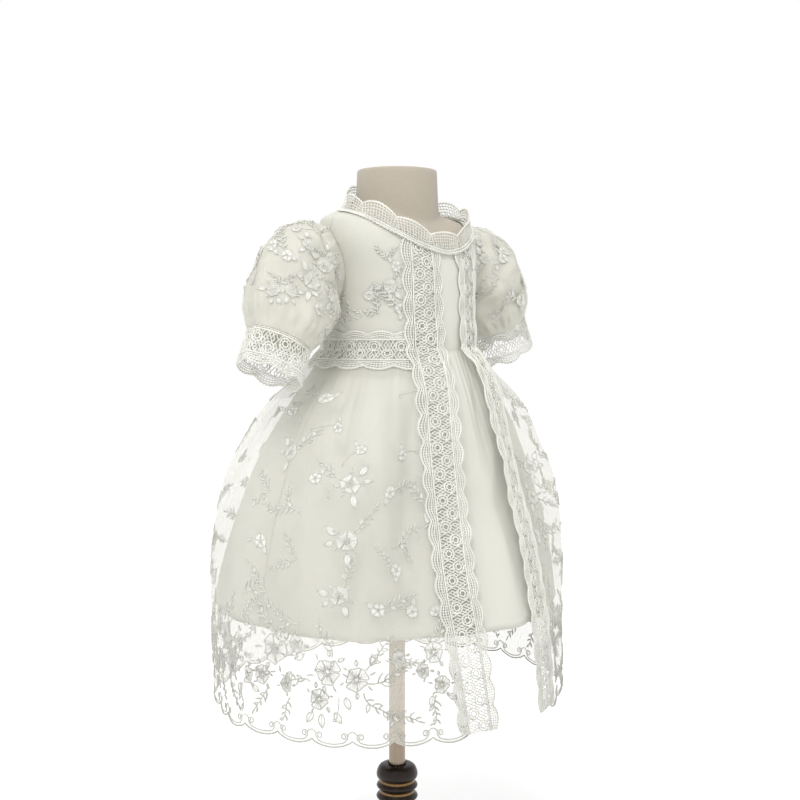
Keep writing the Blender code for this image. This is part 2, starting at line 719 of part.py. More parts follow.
def bodice(cutters):
    """The front and the two backs, with the armholes cut through them."""

    def surface(turn, level):
        return body_point(turn, level, BODICE_OFF_FORM)

    half = BUST_COLUMNS // 2 + 1
    panels = [
        cloth_panel("bodice_front", surface, seam_at(-90), seam_at(90), BODICE_LEVELS, BUST_COLUMNS),
        cloth_panel("bodice_back_left", surface, seam_at(90), seam_at(180), BODICE_LEVELS, half),
        cloth_panel("bodice_back_right", surface, seam_at(180), seam_at(270), BODICE_LEVELS, half),
    ]
    for panel in panels:
        for cutter in cutters:
            cut = panel.modifiers.new(cutter.name, "BOOLEAN")
            cut.object = cutter
            cut.operation = "DIFFERENCE"
    return panels


def buttons():
    """Small domed buttons beside the centre back opening."""
    made = []
    for number, level in enumerate(BUTTON_LEVELS, 1):
        seat = body_point(BUTTON_TURN, level, BODICE_FACE + BUTTON_OFF)
        normal = (body_point(BUTTON_TURN, level, BODICE_FACE + BUTTON_OFF + 1) - seat).normalized()
        bpy.ops.mesh.primitive_cylinder_add(vertices=10, radius=BUTTON_RADIUS * MM, depth=BUTTON_HEIGHT * MM)
        button = bpy.context.object
        button.name = f"back_button_{number}"
        for other in button.users_collection:
            other.objects.unlink(button)
        GOWN.objects.link(button)
        button.data.materials.append(material("pearl"))
        button.rotation_mode = "QUATERNION"
        button.rotation_quaternion = normal.to_track_quat("Z", "Y")
        button.location = (seat + normal * (BUTTON_HEIGHT / 2)) * MM
        soften = button.modifiers.new("rounded edge", "BEVEL")
        soften.width = BUTTON_EDGE * MM
        soften.segments = 1
        made.append(button)
    return made


# ---------------------------------------------------------------- the sleeves
def sleeve_point(side, turn, along, out=0.0):
    """A point on a sleeve's inner face. turn goes round the arm from its top, forwards."""
    ring = row_at(SLEEVE_RINGS, along)
    angle, tilt = math.radians(turn), math.radians(ring.tilt)
    fade = ease((along - 0.1) / 0.1) * ease((1 - along) / 0.05)
    waves = WAVE_DEPTH * fade * math.cos(SLEEVE_WAVES * angle + 0.8 * side)
    puff = SLEEVE_FOLD_DEPTH * math.sin(math.pi * along)
    waves += puff * math.sin(SLEEVE_FOLDS * angle + 1.1 * side + 4 * along)
    up = Vector((math.sin(tilt), 0.0, math.cos(tilt)))
    point = Vector((ring.out, ring.back, ring.z)) + up * (ring.half_height + waves + out) * math.cos(angle)
    point.y -= (ring.half_depth + waves + out) * math.sin(angle)
    point.z += LEFT_SLEEVE_LIFT * ease(along / 0.5) if side > 0 else 0.0
    point.x *= side
    return point


def sleeve_root_point(side, turn, bodice_walls):
    """A point of the armhole seam, on the bodice's outer face."""
    angle = math.radians(turn)
    ring = SLEEVE_RINGS[0]
    y = ring.back - ring.half_depth * math.sin(angle)
    z = ring.z + ring.half_height * math.cos(angle)
    hit, normal, _, _ = bodice_walls.ray_cast(Vector((side * 200, y, z)), Vector((-side, 0, 0)))
    return hit + normal * SLEEVE_SEAM


def sleeve(side, bodice_walls):
    """The puffed sleeve, from the armhole seam to the lace cuff."""
    turns = [360 * c / SLEEVE_COLUMNS for c in range(SLEEVE_COLUMNS)]
    points = [sleeve_root_point(side, turn, bodice_walls) for turn in turns]
    for along in SLEEVE_ALONGS[1:]:
        points += [sleeve_point(side, turn, along) for turn in turns]
    faces = grid_faces(len(SLEEVE_ALONGS), SLEEVE_COLUMNS, closed=True)
    obj = add_mesh("sleeve_" + SIDE_NAMES[side], points, faces, "satin")
    centre = sum((v.co for v in obj.data.vertices), Vector()) / len(obj.data.vertices)
    face_outwards(obj, lambda point: centre)
    return thicken(obj, CLOTH)


def cuff_half(side, half):
    """Half of the lace round a cuff: the front half or the back one."""
    end = SLEEVE_RINGS[-1]
    lean = math.radians(CUFF_LEAN)
    down = Vector((side * math.sin(lean), 0.0, -math.cos(lean)))
    gap = math.degrees(SEAM / 2 / end.half_depth)
    first = gap if half == "front" else 180 + gap
    lower = CUFF_LENGTH - 2 * BAND_HALF - CUFF_TOP

    def place(share, across):
        hang = across + BAND_HALF + CUFF_TOP
        turn = first + (180 - 2 * gap) * share
        ruffle = CUFF_RUFFLE * hang / CUFF_LENGTH * math.cos(math.radians(turn * CUFF_BLOCKS))
        point = sleeve_point(side, turn, 1.0, CUFF_FLARE * hang + ruffle)
        return point + down * (hang + CUFF_SEAM)

    centre = (sleeve_point(side, 0, 1.0) + sleeve_point(side, 180, 1.0)) * (0.5 * MM)
    name = f"cuff_lace_{SIDE_NAMES[side]}_{half}"
    return lace_band(name, place, CUFF_BLOCKS, (CUFF_TOP, 0.0), (lower, SCALLOP_DEPTH), lambda point: centre)


# ---------------------------------------------------------------- the skirts
def underskirt():
    """The opaque skirt: a front and a back panel."""
    levels = [0.0, *(level_at_height(UNDERSKIRT_RINGS, z) for z in SKIRT_ROWS), -1.0]
    left, right = seam_at(SIDE_SEAM_TURN), seam_at(-SIDE_SEAM_TURN)
    back_right = seam_at(360 - SIDE_SEAM_TURN)
    return [
        cloth_panel("underskirt_front", underskirt_point, right, left, levels, UNDERSKIRT_FRONT_COLUMNS),
        cloth_panel("underskirt_back", underskirt_point, left, back_right, levels, UNDERSKIRT_BACK_COLUMNS),
    ]


def overskirt():
    """The sheer skirt: two fronts and a back, open between the front trims."""
    heights = (*SKIRT_ROWS, UNDERSKIRT_RINGS[0].z, OVERSKIRT_LAST_ROW)
    levels = [0.0, *(level_at_height(OVERSKIRT_RINGS, z) for z in heights)]

    def edge(side):
        # The panel ends under the outer line of the trim's band, so that the eyes stay open.
        def turn(level):
            middle = trim_turn(side, level)
            return middle + side * BAND_HALF * millimetre_turn(level, middle)

        return turn

    left, right = seam_at(SIDE_SEAM_TURN), seam_at(-SIDE_SEAM_TURN)
    back_right = seam_at(360 - SIDE_SEAM_TURN)
    return [
        scalloped_panel("overskirt_front_right", right, edge(-1), levels, FRONT_SCALLOPS),
        scalloped_panel("overskirt_back", left, back_right, levels, BACK_SCALLOPS),
        scalloped_panel("overskirt_front_left", edge(1), left, levels, FRONT_SCALLOPS),
    ]


# ---------------------------------------------------------------- the form and its stand
def dress_form():
    """The limbless figure: torso, shoulders and neck in one closed solid with a rounded top."""
    columns = 2 * (BUST_COLUMNS - 1)
    levels = [*HIP_LEVELS, *BODICE_LEVELS, *NECK_LEVELS]
    points = [body_point(360 * c / columns, level) for level in levels for c in range(columns)]
    top = BODY_RINGS[-1].level
    for ring in NECK_CAP:
        points += [
            Vector((p.x * ring.share, p.y * ring.share, p.z + ring.rise))
            for p in (body_point(360 * c / columns, top) for c in range(columns))
        ]
    rows = len(levels) + len(NECK_CAP)
    faces = grid_faces(rows, columns, closed=True)
    faces.append(tuple(range(columns)))
    faces.append(tuple(range((rows - 1) * columns, rows * columns)))
    obj = add_mesh("dress_form", points, faces, "form_cloth")
    mesh = bmesh.new()
    mesh.from_mesh(obj.data)
    bmesh.ops.recalc_face_normals(mesh, faces=mesh.faces)
    mesh.to_mesh(obj.data)
    mesh.free()
    obj.data.shade_smooth()
    return obj


def turned(name, profile, steps, finish):
    """A solid of revolution from a profile that runs down its outer side."""
    points = [(p.radius, 0.0, p.z) for p in profile]
    edges = [(i, i + 1) for i in range(len(points) - 1)]
    obj = add_mesh(name, points, [], finish, edges)
    spin = obj.modifiers.new("turning", "SCREW")
    spin.steps = steps
    spin.render_steps = steps
    spin.use_merge_vertices = True
    spin.merge_threshold = 0.00005
    spin.use_smooth_shade = True
    return obj


def pole():
    top = BODY_RINGS[0].front_z - SEAM
    bpy.ops.mesh.primitive_cylinder_add(vertices=28, radius=POLE_RADIUS * MM, depth=(top - POLE_FOOT_Z) * MM)
    obj = bpy.context.object
    obj.name = "pole"
    for other in obj.users_collection:
        other.objects.unlink(obj)
    GOWN.objects.link(obj)
    obj.location = (0.0, 0.0, (top + POLE_FOOT_Z) / 2 * MM)
    obj.data.materials.append(material("pole_metal"))
    return obj


SIDE_NAMES = {1: "left", -1: "right"}  # the wearer's left is +X

empty_scene()
GOWN = collection("christening_gown")
CUTTERS = collection("cutters", hidden=True)

dress_form()
pole()
turned("turned_neck", TURNED_NECK, 20, "dark_wood")
turned("base_disc", BASE_DISC, 30, "dark_wood")
bodice_panels = bodice([armhole_cutter(side) for side in SIDE_NAMES])
skirt_panels = underskirt() + overskirt()
buttons()
bodice_walls = outer_faces(bodice_panels)
walls = outer_faces(bodice_panels + skirt_panels)
waist_trims = [waist_trim(side, walls) for side in SIDE_NAMES]
walls = outer_faces(bodice_panels + skirt_panels + waist_trims)
front_trims = [front_trim(side, walls) for side in SIDE_NAMES]
collar(outer_faces(bodice_panels + front_trims))
for wearer_side in SIDE_NAMES:
    sleeve(wearer_side, bodice_walls)
    cuff_half(wearer_side, "front")
    cuff_half(wearer_side, "back")
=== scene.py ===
"""The finished look of a christening gown on its dress form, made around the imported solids.

Frame: +Z up, the gown faces -Y, and the wearer's left is +X. Tables are in millimetres and meshes in metres.
The turn is the angle round the pole in degrees, 0 at the centre front and positive towards the wearer's left.
The level runs from -1 at a skirt's hem through 0 at the waist seam to 1 at the neckline.
"""

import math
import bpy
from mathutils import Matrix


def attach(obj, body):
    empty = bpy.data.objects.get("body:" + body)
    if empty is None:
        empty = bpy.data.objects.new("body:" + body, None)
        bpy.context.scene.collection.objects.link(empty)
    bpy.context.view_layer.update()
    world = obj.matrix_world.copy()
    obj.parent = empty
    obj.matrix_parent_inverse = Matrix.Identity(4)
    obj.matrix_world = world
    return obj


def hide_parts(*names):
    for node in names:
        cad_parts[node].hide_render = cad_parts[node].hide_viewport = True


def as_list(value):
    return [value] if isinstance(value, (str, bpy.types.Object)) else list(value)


bl_info = {
    "name": "Christening Gown",
    "version": (1, 0, 0),
    "blender": (4, 5, 0),
    "location": "3D View > Sidebar > Gown",
    "description": "Makes a lace-trimmed christening gown on a dress form",
    "category": "Add Mesh",
}

from collections import namedtuple

import bmesh
import bpy
import numpy as np
from mathutils import Vector
from mathutils.bvhtree import BVHTree

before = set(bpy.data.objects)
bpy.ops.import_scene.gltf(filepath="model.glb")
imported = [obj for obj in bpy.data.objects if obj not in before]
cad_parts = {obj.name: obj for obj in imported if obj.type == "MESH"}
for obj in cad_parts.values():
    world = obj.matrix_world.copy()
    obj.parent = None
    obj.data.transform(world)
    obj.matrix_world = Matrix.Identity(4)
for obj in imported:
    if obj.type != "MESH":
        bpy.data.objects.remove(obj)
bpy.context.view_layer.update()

MM = 0.001
SIDES = {"left": 1, "right": -1}  # the wearer's left is +X


def table(columns, *rows):
    """A table of rows under the names of its columns."""
    row_of = namedtuple("Row", columns)
    return tuple(row_of(*row) for row in rows)


# ---------------------------------------------------------------- the figure's and the skirts' sizes
BODY_RINGS = table(
    "level front_z side_z back_z half_width front_depth back_depth",
    (-1.00, 452, 452, 452, 58.0, 50.0, 46.0),  # edge of the form's underside
    (-0.85, 461, 461, 461, 73.0, 64.0, 59.0),
    (-0.45, 506, 506, 506, 80.0, 71.0, 65.0),  # hip
    (0.00, 573, 573, 573, 77.5, 71.5, 65.0),  # waist
    (0.35, 612, 612, 612, 79.0, 70.5, 66.0),
    (0.60, 641, 645, 645, 82.0, 69.0, 66.0),  # chest
    (0.80, 663, 678, 675, 88.0, 64.0, 61.0),
    (0.90, 674, 695, 698, 85.0, 57.5, 54.0),  # shoulder
    (0.96, 682, 702, 713, 66.0, 51.5, 47.0),
    (1.00, 689, 707, 723, 46.0, 46.0, 41.0),  # neckline
    (1.05, 696, 714, 729, 41.0, 41.5, 39.5),
    (1.30, 745, 745, 745, 39.0, 39.0, 39.0),  # top of the neck
)
WAIST_Z = 573.0
SKIRT_TOP = WAIST_Z - 1.0
FRONT_ARC, ARC_BLEND = 33.0, 25.0  # the front arc's half-width, and the turn over which it joins the ellipse
SKIRT_COLUMNS = "level z half_width front_depth back_depth back_square front_round share"
UNDERSKIRT_RINGS = table(
    SKIRT_COLUMNS,
    (-1.00, 320, 163, 155, 167, 2.3, 150, 1.0),
    (-0.95, 333, 161, 153, 165, 2.3, 147, 1.0),
    (-0.77, 379, 153, 146, 157, 2.2, 134, 1.0),
    (-0.56, 430, 140, 128, 145, 2.1, 116, 1.0),
    (-0.41, 469, 127, 115, 132, 2.0, 106, 1.0),
    (-0.31, 494, 115, 106, 117, 2.0, 100, 1.0),
    (-0.17, 529, 95, 90, 93, 2.0, 89, 1.0),
    (-0.08, 553, 84, 78, 76, 2.0, 79, 0.6),
    (0.00, SKIRT_TOP, 78.0, 72.0, 65.5, 2.0, 73, 0.0),
)
OVERSKIRT_RINGS = table(
    SKIRT_COLUMNS,
    (-1.00, 233, 173, 157, 175, 2.1, 159, 1.0),
    (-0.80, 302, 175, 153, 177, 2.1, 155, 1.0),
    (-0.66, 350, 176, 152, 175, 2.1, 147, 1.0),
    (-0.53, 394, 174, 149, 171, 2.05, 137, 1.0),
    (-0.39, 439, 167, 142, 163, 2.0, 123, 1.0),
    (-0.28, 478, 151, 125, 146, 2.0, 113, 1.0),
    (-0.16, 517, 129, 108, 121, 2.0, 104, 1.0),
    (-0.11, 535, 110, 101, 103, 2.0, 99, 1.0),
    (-0.055, 554, 92, 88, 84, 2.0, 88, 0.8),
    (0.00, SKIRT_TOP, 79.5, 73.5, 67.0, 2.0, 75, 0.0),
)
FOLD_COLUMNS = "turn half_width upper_depth hem_depth"
SKIRT_FOLDS = table(
    FOLD_COLUMNS,
    (-168, 17, 4.5, 4.0), (-138, 15, 4.5, 4.0), (-107, 16, 4.0, 5.0), (-80, 12, 5.0, 2.0), (-57, 11, 6.0, 3.5),
    (0, 10, 2.5, 5.0), (56, 11, 6.5, 4.0), (82, 13, 4.0, 2.5), (110, 15, 4.5, 5.0), (140, 14, 5.0, 4.0),
    (166, 13, 4.0, 4.5),
)
OVERSKIRT_FOLDS = table(
    FOLD_COLUMNS,
    (-158, 14, 3.0, 6.0), (-127, 13, 3.0, 4.0), (-96, 13, 4.0, 7.0), (-68, 11, 2.0, 4.0), (-46, 10, 1.0, 3.0),
    (47, 10, 1.0, 4.0), (70, 12, 3.0, 4.0), (98, 13, 3.0, 7.0), (127, 13, 4.0, 4.0), (154, 13, 3.0, 7.0),
)
UPPER_FOLD_DROP = 0.28
GATHERS, GATHER_DEPTH, GATHER_DROP = 18, 1.5, 0.085
FINE_GATHERS, FINE_GATHER_DEPTH = 71, 0.75  # the small tucks between the large gathers
HEM_FLARES, FLARE, FLARE_HALF = (-133, 128), 4.5, 14  # where the underskirt's hem stands out a little

# Soft creases that run down the skirts. turn is where one starts, lean how far it drifts on its way down,
# top and bottom its ends as shares of the underskirt's length, and depth how far it sinks (-) or stands (+).
CREASES = table(
    "turn lean top bottom half_width depth",
    (-72, 4, 0.10, 0.45, 4.0, -3.4), (-58, 3, 0.08, 0.50, 3.5, -3.7), (-66, 2, 0.12, 0.60, 4.5, 2.3),
    (-38, -7, 0.10, 0.85, 4.0, -3.1), (-47, -4, 0.20, 0.95, 5.0, 2.0), (-88, 3, 0.15, 0.70, 4.5, -2.8),
    (-73, 1, 0.55, 1.30, 3.0, 1.6), (-98, -3, 0.25, 1.20, 5.0, 2.2), (15, -13, 0.08, 0.40, 5.0, -2.5),
    (17, -16, 0.30, 0.62, 5.5, 2.5), (-6, 4, 0.48, 0.75, 7.0, -2.8), (-14, 2, 0.10, 0.55, 4.0, 1.6),
    (38, 5, 0.10, 0.80, 4.0, -2.8), (49, 4, 0.25, 1.10, 4.5, 2.2), (66, 3, 0.12, 0.60, 4.0, -3.1),
    (88, -4, 0.15, 0.90, 4.5, -2.6), (101, 3, 0.20, 1.20, 5.0, 2.0), (120, -3, 0.10, 0.70, 4.5, -3.1),
    (134, 4, 0.22, 1.25, 5.0, 2.3), (151, -4, 0.12, 0.80, 4.5, -2.8), (171, 5, 0.15, 1.10, 5.0, -2.3),
    (-172, -3, 0.10, 0.65, 4.5, 2.2), (-150, 4, 0.12, 0.85, 4.5, -3.1), (-131, -4, 0.20, 1.20, 5.0, 2.2),
    (-118, 3, 0.10, 0.75, 4.0, -2.6), (-52, 6, 0.30, 0.92, 2.6, 1.5), (-80, -4, 0.06, 0.32, 2.5, 1.6),
    (-31, -4, 0.06, 0.40, 2.4, 1.5), (3, -3, 0.06, 0.36, 3.0, -1.8), (8, -10, 0.55, 1.00, 4.0, 1.6),
    (-62, 9, 0.62, 1.02, 5.0, -1.8), (58, -2, 0.06, 0.40, 2.6, 1.5), (110, 2, 0.06, 0.36, 2.6, -1.6),
    (-160, 3, 0.06, 0.42, 2.6, -1.6),
)

CLOTH = 1.2  # wall of the solids' cloth, on whose inner face the tables lie
BODICE_OFF_FORM = 0.9
BODICE_FACE = BODICE_OFF_FORM + CLOTH
SATIN_OFF, NET_OFF = 0.35, 0.75  # the bodice's satin off the solid's inner face, and its net off the satin
SIDE_SEAM_TURN = 95.0
TRIM_PATH = table(
    "level right left",
    (-1.00, 17.3, 18.0), (-0.78, 21.0, 16.5), (-0.53, 24.0, 18.5), (-0.28, 24.0, 21.0), (0.00, 24.0, 22.5),
    (0.45, 25.0, 25.0), (1.00, 27.0, 27.0),
)
TRIM_TOP_BELOW = 7.0
WAIST_TRIM_TUCK = 4.0  # the turn over which the waist trim passes under a front trim
BAND_HALF, BORDER = 11.0, 9.5  # half of the lace's band, and the scalloped border on each side of it
TRIM_WIDTH = 2 * (BAND_HALF + BORDER)
TRIM_GUIDE_HALF = BAND_HALF + BORDER + 2
SCALLOP_REPEAT, SCALLOP_DEPTH = 24.0, 4.0
HEM_SCALLOP_DEPTH, HEM_ROUNDNESS = 6.0, 0.7
HEM_BLEND_Z = 242.0  # the scallops begin to shape the net this high
FRONT_SCALLOPS, BACK_SCALLOPS = 6, 15
COLLAR_WIDTH, COLLAR_STANDS, COLLAR_CUSP, COLLAR_SCALLOPS = 19.0, 3.0, 3.0, 11
COLLAR_RISE = 6.0  # how far the collar is drawn up round the neck
NECKLINE_DIP, DIP_TURN, DIP_BLEND = 22.0, 66, 60  # how deep, up to which turn, and over which it fades

SLEEVE_RINGS = table(
    "along out back z tilt half_height half_depth",
    (0.00, 88, 11, 651, 0, 38, 26),
    (0.12, 98, 10, 650, 10, 41, 28.5),
    (0.30, 110, 8, 643, 24, 46, 34),
    (0.50, 124, 5, 634, 38, 47, 39),
    (0.70, 136, 3, 614, 50, 42, 40),
    (0.86, 145, 1, 598, 57, 37.5, 37),
    (0.95, 149, 0, 588.5, 61, 32, 32),
    (1.00, 151, 0, 583, 62, 30.5, 30.5),
)
SLEEVE_WAVES, WAVE_DEPTH = 9, 1.3
SLEEVE_FOLDS, SLEEVE_FOLD_DEPTH = 3, 2.2
LEFT_SLEEVE_LIFT = 14.0
SLEEVE_NET_OUT = 1.9
ARMHOLE_INNER_X, ARMHOLE_BACK, ARMHOLE_Z = 50, 11.0, 651.0
ARMHOLE_HALF_HEIGHT, ARMHOLE_HALF_DEPTH = 34.0, 22.0
CUFF_LENGTH, CUFF_TOP, CUFF_SEAM, CUFF_LEAN, CUFF_FLARE, CUFF_RUFFLE = 33.0, 2.0, 1.0, 21.0, 0.03, 1.2
CUFF_RUFFLES, CUFF_REPEATS = 6, 7
# Gathers at a sleeve's two ends: where along it, over how much of it, depth, count, and how they wander
SLEEVE_ENDS = table(
    "along reach depth count wander wander_count",
    (0.11, 0.07, 1.3, 21, 3, 2), (0.89, 0.06, 1.2, 23, 2, 3),
)
# Soft dents and swellings of a sleeve's puff: where, how wide round the arm and along it, slant and depth
SLEEVE_DENTS = table(
    "turn along half_turn half_along slant depth",
    (30, 0.14, 22, 0.05, 0.06, -4.2), (58, 0.20, 26, 0.045, 0.10, -3.6), (44, 0.26, 24, 0.05, 0.06, 2.6),
    (88, 0.26, 26, 0.05, 0.10, 3.0), (105, 0.17, 24, 0.045, 0.06, -3.4), (78, 0.42, 34, 0.05, 0.07, -3.2),
    (60, 0.54, 30, 0.05, -0.06, 2.6), (112, 0.56, 30, 0.06, -0.06, 2.6), (48, 0.70, 24, 0.06, 0.08, -2.8),
    (92, 0.74, 22, 0.06, 0.05, -2.6), (12, 0.38, 22, 0.07, -0.10, 2.8), (-8, 0.55, 20, 0.06, 0.08, -2.6),
    (145, 0.28, 26, 0.05, 0.06, -3.0), (168, 0.50, 26, 0.06, 0.05, 2.2), (200, 0.40, 36, 0.06, 0.08, 2.6),
    (215, 0.20, 22, 0.045, 0.05, -3.2), (242, 0.26, 28, 0.05, -0.06, -3.2), (285, 0.40, 32, 0.06, 0.09, 2.8),
    (300, 0.17, 22, 0.045, -0.05, -3.6), (325, 0.24, 24, 0.05, -0.05, -3.2), (258, 0.64, 28, 0.06, 0.05, -2.6),
    (330, 0.62, 24, 0.07, 0.06, -2.6), (305, 0.74, 22, 0.06, -0.05, 2.0),
)

POLE_RADIUS, POLE_FOOT_Z, NECK_FOOT_Z, SEAM = 8.3, 92.0, 30.0, 0.3
TURNED_NECK = table(
    "radius z",
    (11.0, 153.0), (17.5, 151.0), (20.6, 145.0), (20.4, 140.0), (17.2, 136.0), (20.8, 131.0), (17.4, 125.5),
    (21.0, 120.0), (17.6, 114.0), (21.0, 104.0), (20.0, 82.0), (19.0, 62.0), (22.0, 46.0), (33.0, NECK_FOOT_Z),
)
GROOVE_HEIGHTS, GROOVE_HALF = (136.0, 125.5, 114.0), 1.1
BASE_DISC = table(
    "radius z",
    (36.0, NECK_FOOT_Z - SEAM), (60.0, 25.0), (105.0, 20.5), (119.0, 16.5), (124.0, 9.0), (123.0, 2.0),
    (120.0, 0.0),
)
BUTTON_LEVELS, BUTTON_TURN, BUTTON_OFF = (0.28, 0.52, 0.76), 184.5, 0.5
BUTTON_PROFILE = table(
    "radius z",
    (0.15, 0.0), (2.6, 0.0), (3.9, 0.25), (4.4, 0.9), (4.4, 1.5), (4.1, 2.2), (3.5, 2.7), (2.9, 2.9),
    (2.4, 2.75), (2.0, 2.55), (1.2, 2.5), (0.15, 2.5),
)


# ---------------------------------------------------------------- what a user may change
def colour(name, description, default):
    return bpy.props.FloatVectorProperty(
        name=name, description=description, subtype="COLOR", size=3, min=0.0, max=1.0, default=default
    )


def length(name, description, default):
    return bpy.props.FloatProperty(
        name=name, description=description, default=default, min=0.0, subtype="DISTANCE", unit="LENGTH"
    )


def count(name, description, default, low, high):
    return bpy.props.IntProperty(name=name, description=description, default=default, min=low, max=high)


class GownColours(bpy.types.PropertyGroup):
    satin: colour("Satin", "Ivory of the dress, the sleeves and the underskirt", (0.655, 0.65, 0.58))
    net: colour("Net", "White of the sheer net", (0.70, 0.69, 0.625))
    lace: colour("Lace", "Ivory of the guipure lace", (0.73, 0.725, 0.665))
    # painted shade: the outline thread is painted darker than the filling thread, for the shade on thin threads
    # seen against the light
    stitch: colour("Outline thread", "Thread that outlines the flowers", (0.62, 0.615, 0.56))
    filling: colour("Filling thread", "Thread that fills the petals and the leaves", (0.84, 0.84, 0.80))
    linen: colour("Linen", "Natural linen of the form", (0.40, 0.355, 0.285))
    metal: colour("Pole", "Metal of the pole", (0.29, 0.235, 0.18))
    wood: colour("Wood", "Dark varnished wood", (0.012, 0.006, 0.003))
    groove: colour("Grooves", "Gilt lines in the turned neck", (0.30, 0.17, 0.055))
    pearl: colour("Buttons", "Pearl of the buttons", (0.74, 0.73, 0.69))


class GownSizes(bpy.types.PropertyGroup):
    satin_wall: length("Satin thickness", "Thickness of the satin", 0.0006)
    lace_lift: length("Lace lift", "How far the lace's cords lie above the cloth", 0.0009)
    crossing_lift: length("Lift at a crossing", "Extra lift where one lace crosses another", 0.0018)
    net_opacity: bpy.props.FloatProperty(
        name="Net opacity", description="Share of light that a single net stops", default=0.38, min=0, max=1
    )
    cord_facets: count("Cord facets", "Sides of each cord of the lace", 4, 3, 8)
    thread_facets: count("Thread facets", "Sides of each embroidery thread", 3, 3, 8)
    seed: count("Seed", "Varies the embroidery's layout", 7, 0, 10000)


# ---------------------------------------------------------------- curves through the tables
def ease(t):
    """0 to 1, with a soft start and end."""
    t = np.clip(t, 0.0, 1.0)
    return t * t * (3 - 2 * t)


def bell(reach):
    """1 in the middle, falling softly away over a reach of 1."""
    return np.exp(-(reach**2))


def column(rows, name, at):
    """One column of a table by its first column, on a smooth curve that never overshoots its rows."""
    xs = np.array([row[0] for row in rows], float)
    ys = np.array([getattr(row, name) for row in rows], float)
    steps = np.diff(ys) / np.diff(xs)
    product, total = steps[:-1] * steps[1:], steps[:-1] + steps[1:]
    inner = np.where(product > 0, 2 * product / np.where(total == 0, 1, total), 0.0)
    slope = np.concatenate([steps[:1], inner, steps[-1:]])
    at = np.clip(at, xs[0], xs[-1])
    i = np.clip(np.searchsorted(xs, at, side="right") - 1, 0, len(xs) - 2)
    width = xs[i + 1] - xs[i]
    t = (at - xs[i]) / width
    return (
        (1 + 2 * t) * (1 - t) ** 2 * ys[i]
        + t * (1 - t) ** 2 * width * slope[i]
        + t * t * (3 - 2 * t) * ys[i + 1]
        + t * t * (t - 1) * width * slope[i + 1]
    )


def away(turn, other):
    """The smallest angle between two turns, in degrees."""
    return np.abs((turn - other + 180) % 360 - 180)


def paired(turn, level):
    return np.broadcast_arrays(np.asarray(turn, float), np.asarray(level, float))


def running(line):
    """The running length along a line of points."""
    return np.concatenate([[0], np.cumsum(np.linalg.norm(np.diff(line, axis=0), axis=1))])


# ---------------------------------------------------------------- surfaces, in millimetres
def ahead_or_behind(rings, name, level, ahead):
    """A size that has a front column and a back one."""
    return np.where(ahead > 0, column(rings, "front_" + name, level), column(rings, "back_" + name, level))


def form_point(turn, level):
    """A point on the form's body."""
    turn, level = paired(turn, level)
    across, ahead = np.sin(np.radians(turn)), np.cos(np.radians(turn))
    depth, end_z = (ahead_or_behind(BODY_RINGS, name, level, ahead) for name in ("depth", "z"))
    side_z = column(BODY_RINGS, "side_z", level)
    radius = ((across / column(BODY_RINGS, "half_width", level)) ** 2 + (ahead / depth) ** 2) ** -0.5
    return np.stack([radius * across, -radius * ahead, side_z + (end_z - side_z) * ahead**2], -1)


def ring_point(rings, turn, level, out):
    """A point on a skirt, moved out level from its ring."""
    across, ahead = np.sin(np.radians(turn)), np.cos(np.radians(turn))
    depth = ahead_or_behind(rings, "depth", level, ahead)
    square = np.where(ahead > 0, 2.0, column(rings, "back_square", level))
    wide = column(rings, "half_width", level)
    radius = (np.abs(across / wide) ** square + np.abs(ahead / depth) ** square) ** (-1 / square)
    arc = column(rings, "share", level) * (1 - ease((away(turn, 0) - FRONT_ARC) / ARC_BLEND))
    radius = radius + arc * (column(rings, "front_round", level) - radius) + out
    return np.stack([radius * across, -radius * ahead, column(rings, "z", level) + 0 * turn], -1)


def fold_depth(folds, turn, drop):
    """How far the folds stand out, at a share of the length below the waist."""
    share = ease(drop / UPPER_FOLD_DROP)
    lower = ease((drop - UPPER_FOLD_DROP) / (1 - UPPER_FOLD_DROP))
    total = np.zeros(np.broadcast(turn, drop).shape)
    for fold in folds:
        reach = np.minimum(away(turn, fold.turn) / fold.half_width, 1.0)
        depth = fold.upper_depth + (fold.hem_depth - fold.upper_depth) * lower
        total += depth * share * (1 + np.cos(np.pi * reach)) / 2
    return total


def gather_depth(turn, drop):
    """The large gathers and the small tucks under the waist seam."""
    swell = drop / GATHER_DROP * np.exp(1 - drop / GATHER_DROP)
    large = GATHER_DEPTH * (1 + np.cos(np.radians(turn * GATHERS))) / 2
    uneven = FINE_GATHER_DEPTH * (1 + 0.6 * np.sin(np.radians(turn * 5) + 1.7))
    small = uneven * (1 + np.cos(np.radians(turn * FINE_GATHERS) + 2 * np.sin(np.radians(3 * turn))))
    return swell * (large + small / 2)


def crease_depth(turn, drop):
    """How far the listed creases sink or stand."""
    total = np.zeros(np.broadcast(turn, drop).shape)
    for crease in CREASES:
        share = np.clip((drop - crease.top) / (crease.bottom - crease.top), 0, 1)
        reach = away(turn, crease.turn + crease.lean * share) / crease.half_width
        total += crease.depth * ease(share / 0.3) * ease((1 - share) / 0.45) * bell(reach)
    return total


def drop_at(rings, level):
    """How far below the waist a level is, as a share of the underskirt's length."""
    return (WAIST_Z - column(rings, "z", level)) / (WAIST_Z - UNDERSKIRT_RINGS[0].z)


def underskirt_point(turn, level):
    turn, level = paired(turn, level)
    drop = drop_at(UNDERSKIRT_RINGS, level)
    out = fold_depth(SKIRT_FOLDS, turn, drop) + gather_depth(turn, drop) + crease_depth(turn, drop)
    for place in HEM_FLARES:
        out += FLARE * ease((drop - 0.45) / 0.55) * bell(away(turn, place) / FLARE_HALF)
    return ring_point(UNDERSKIRT_RINGS, turn, level, out)


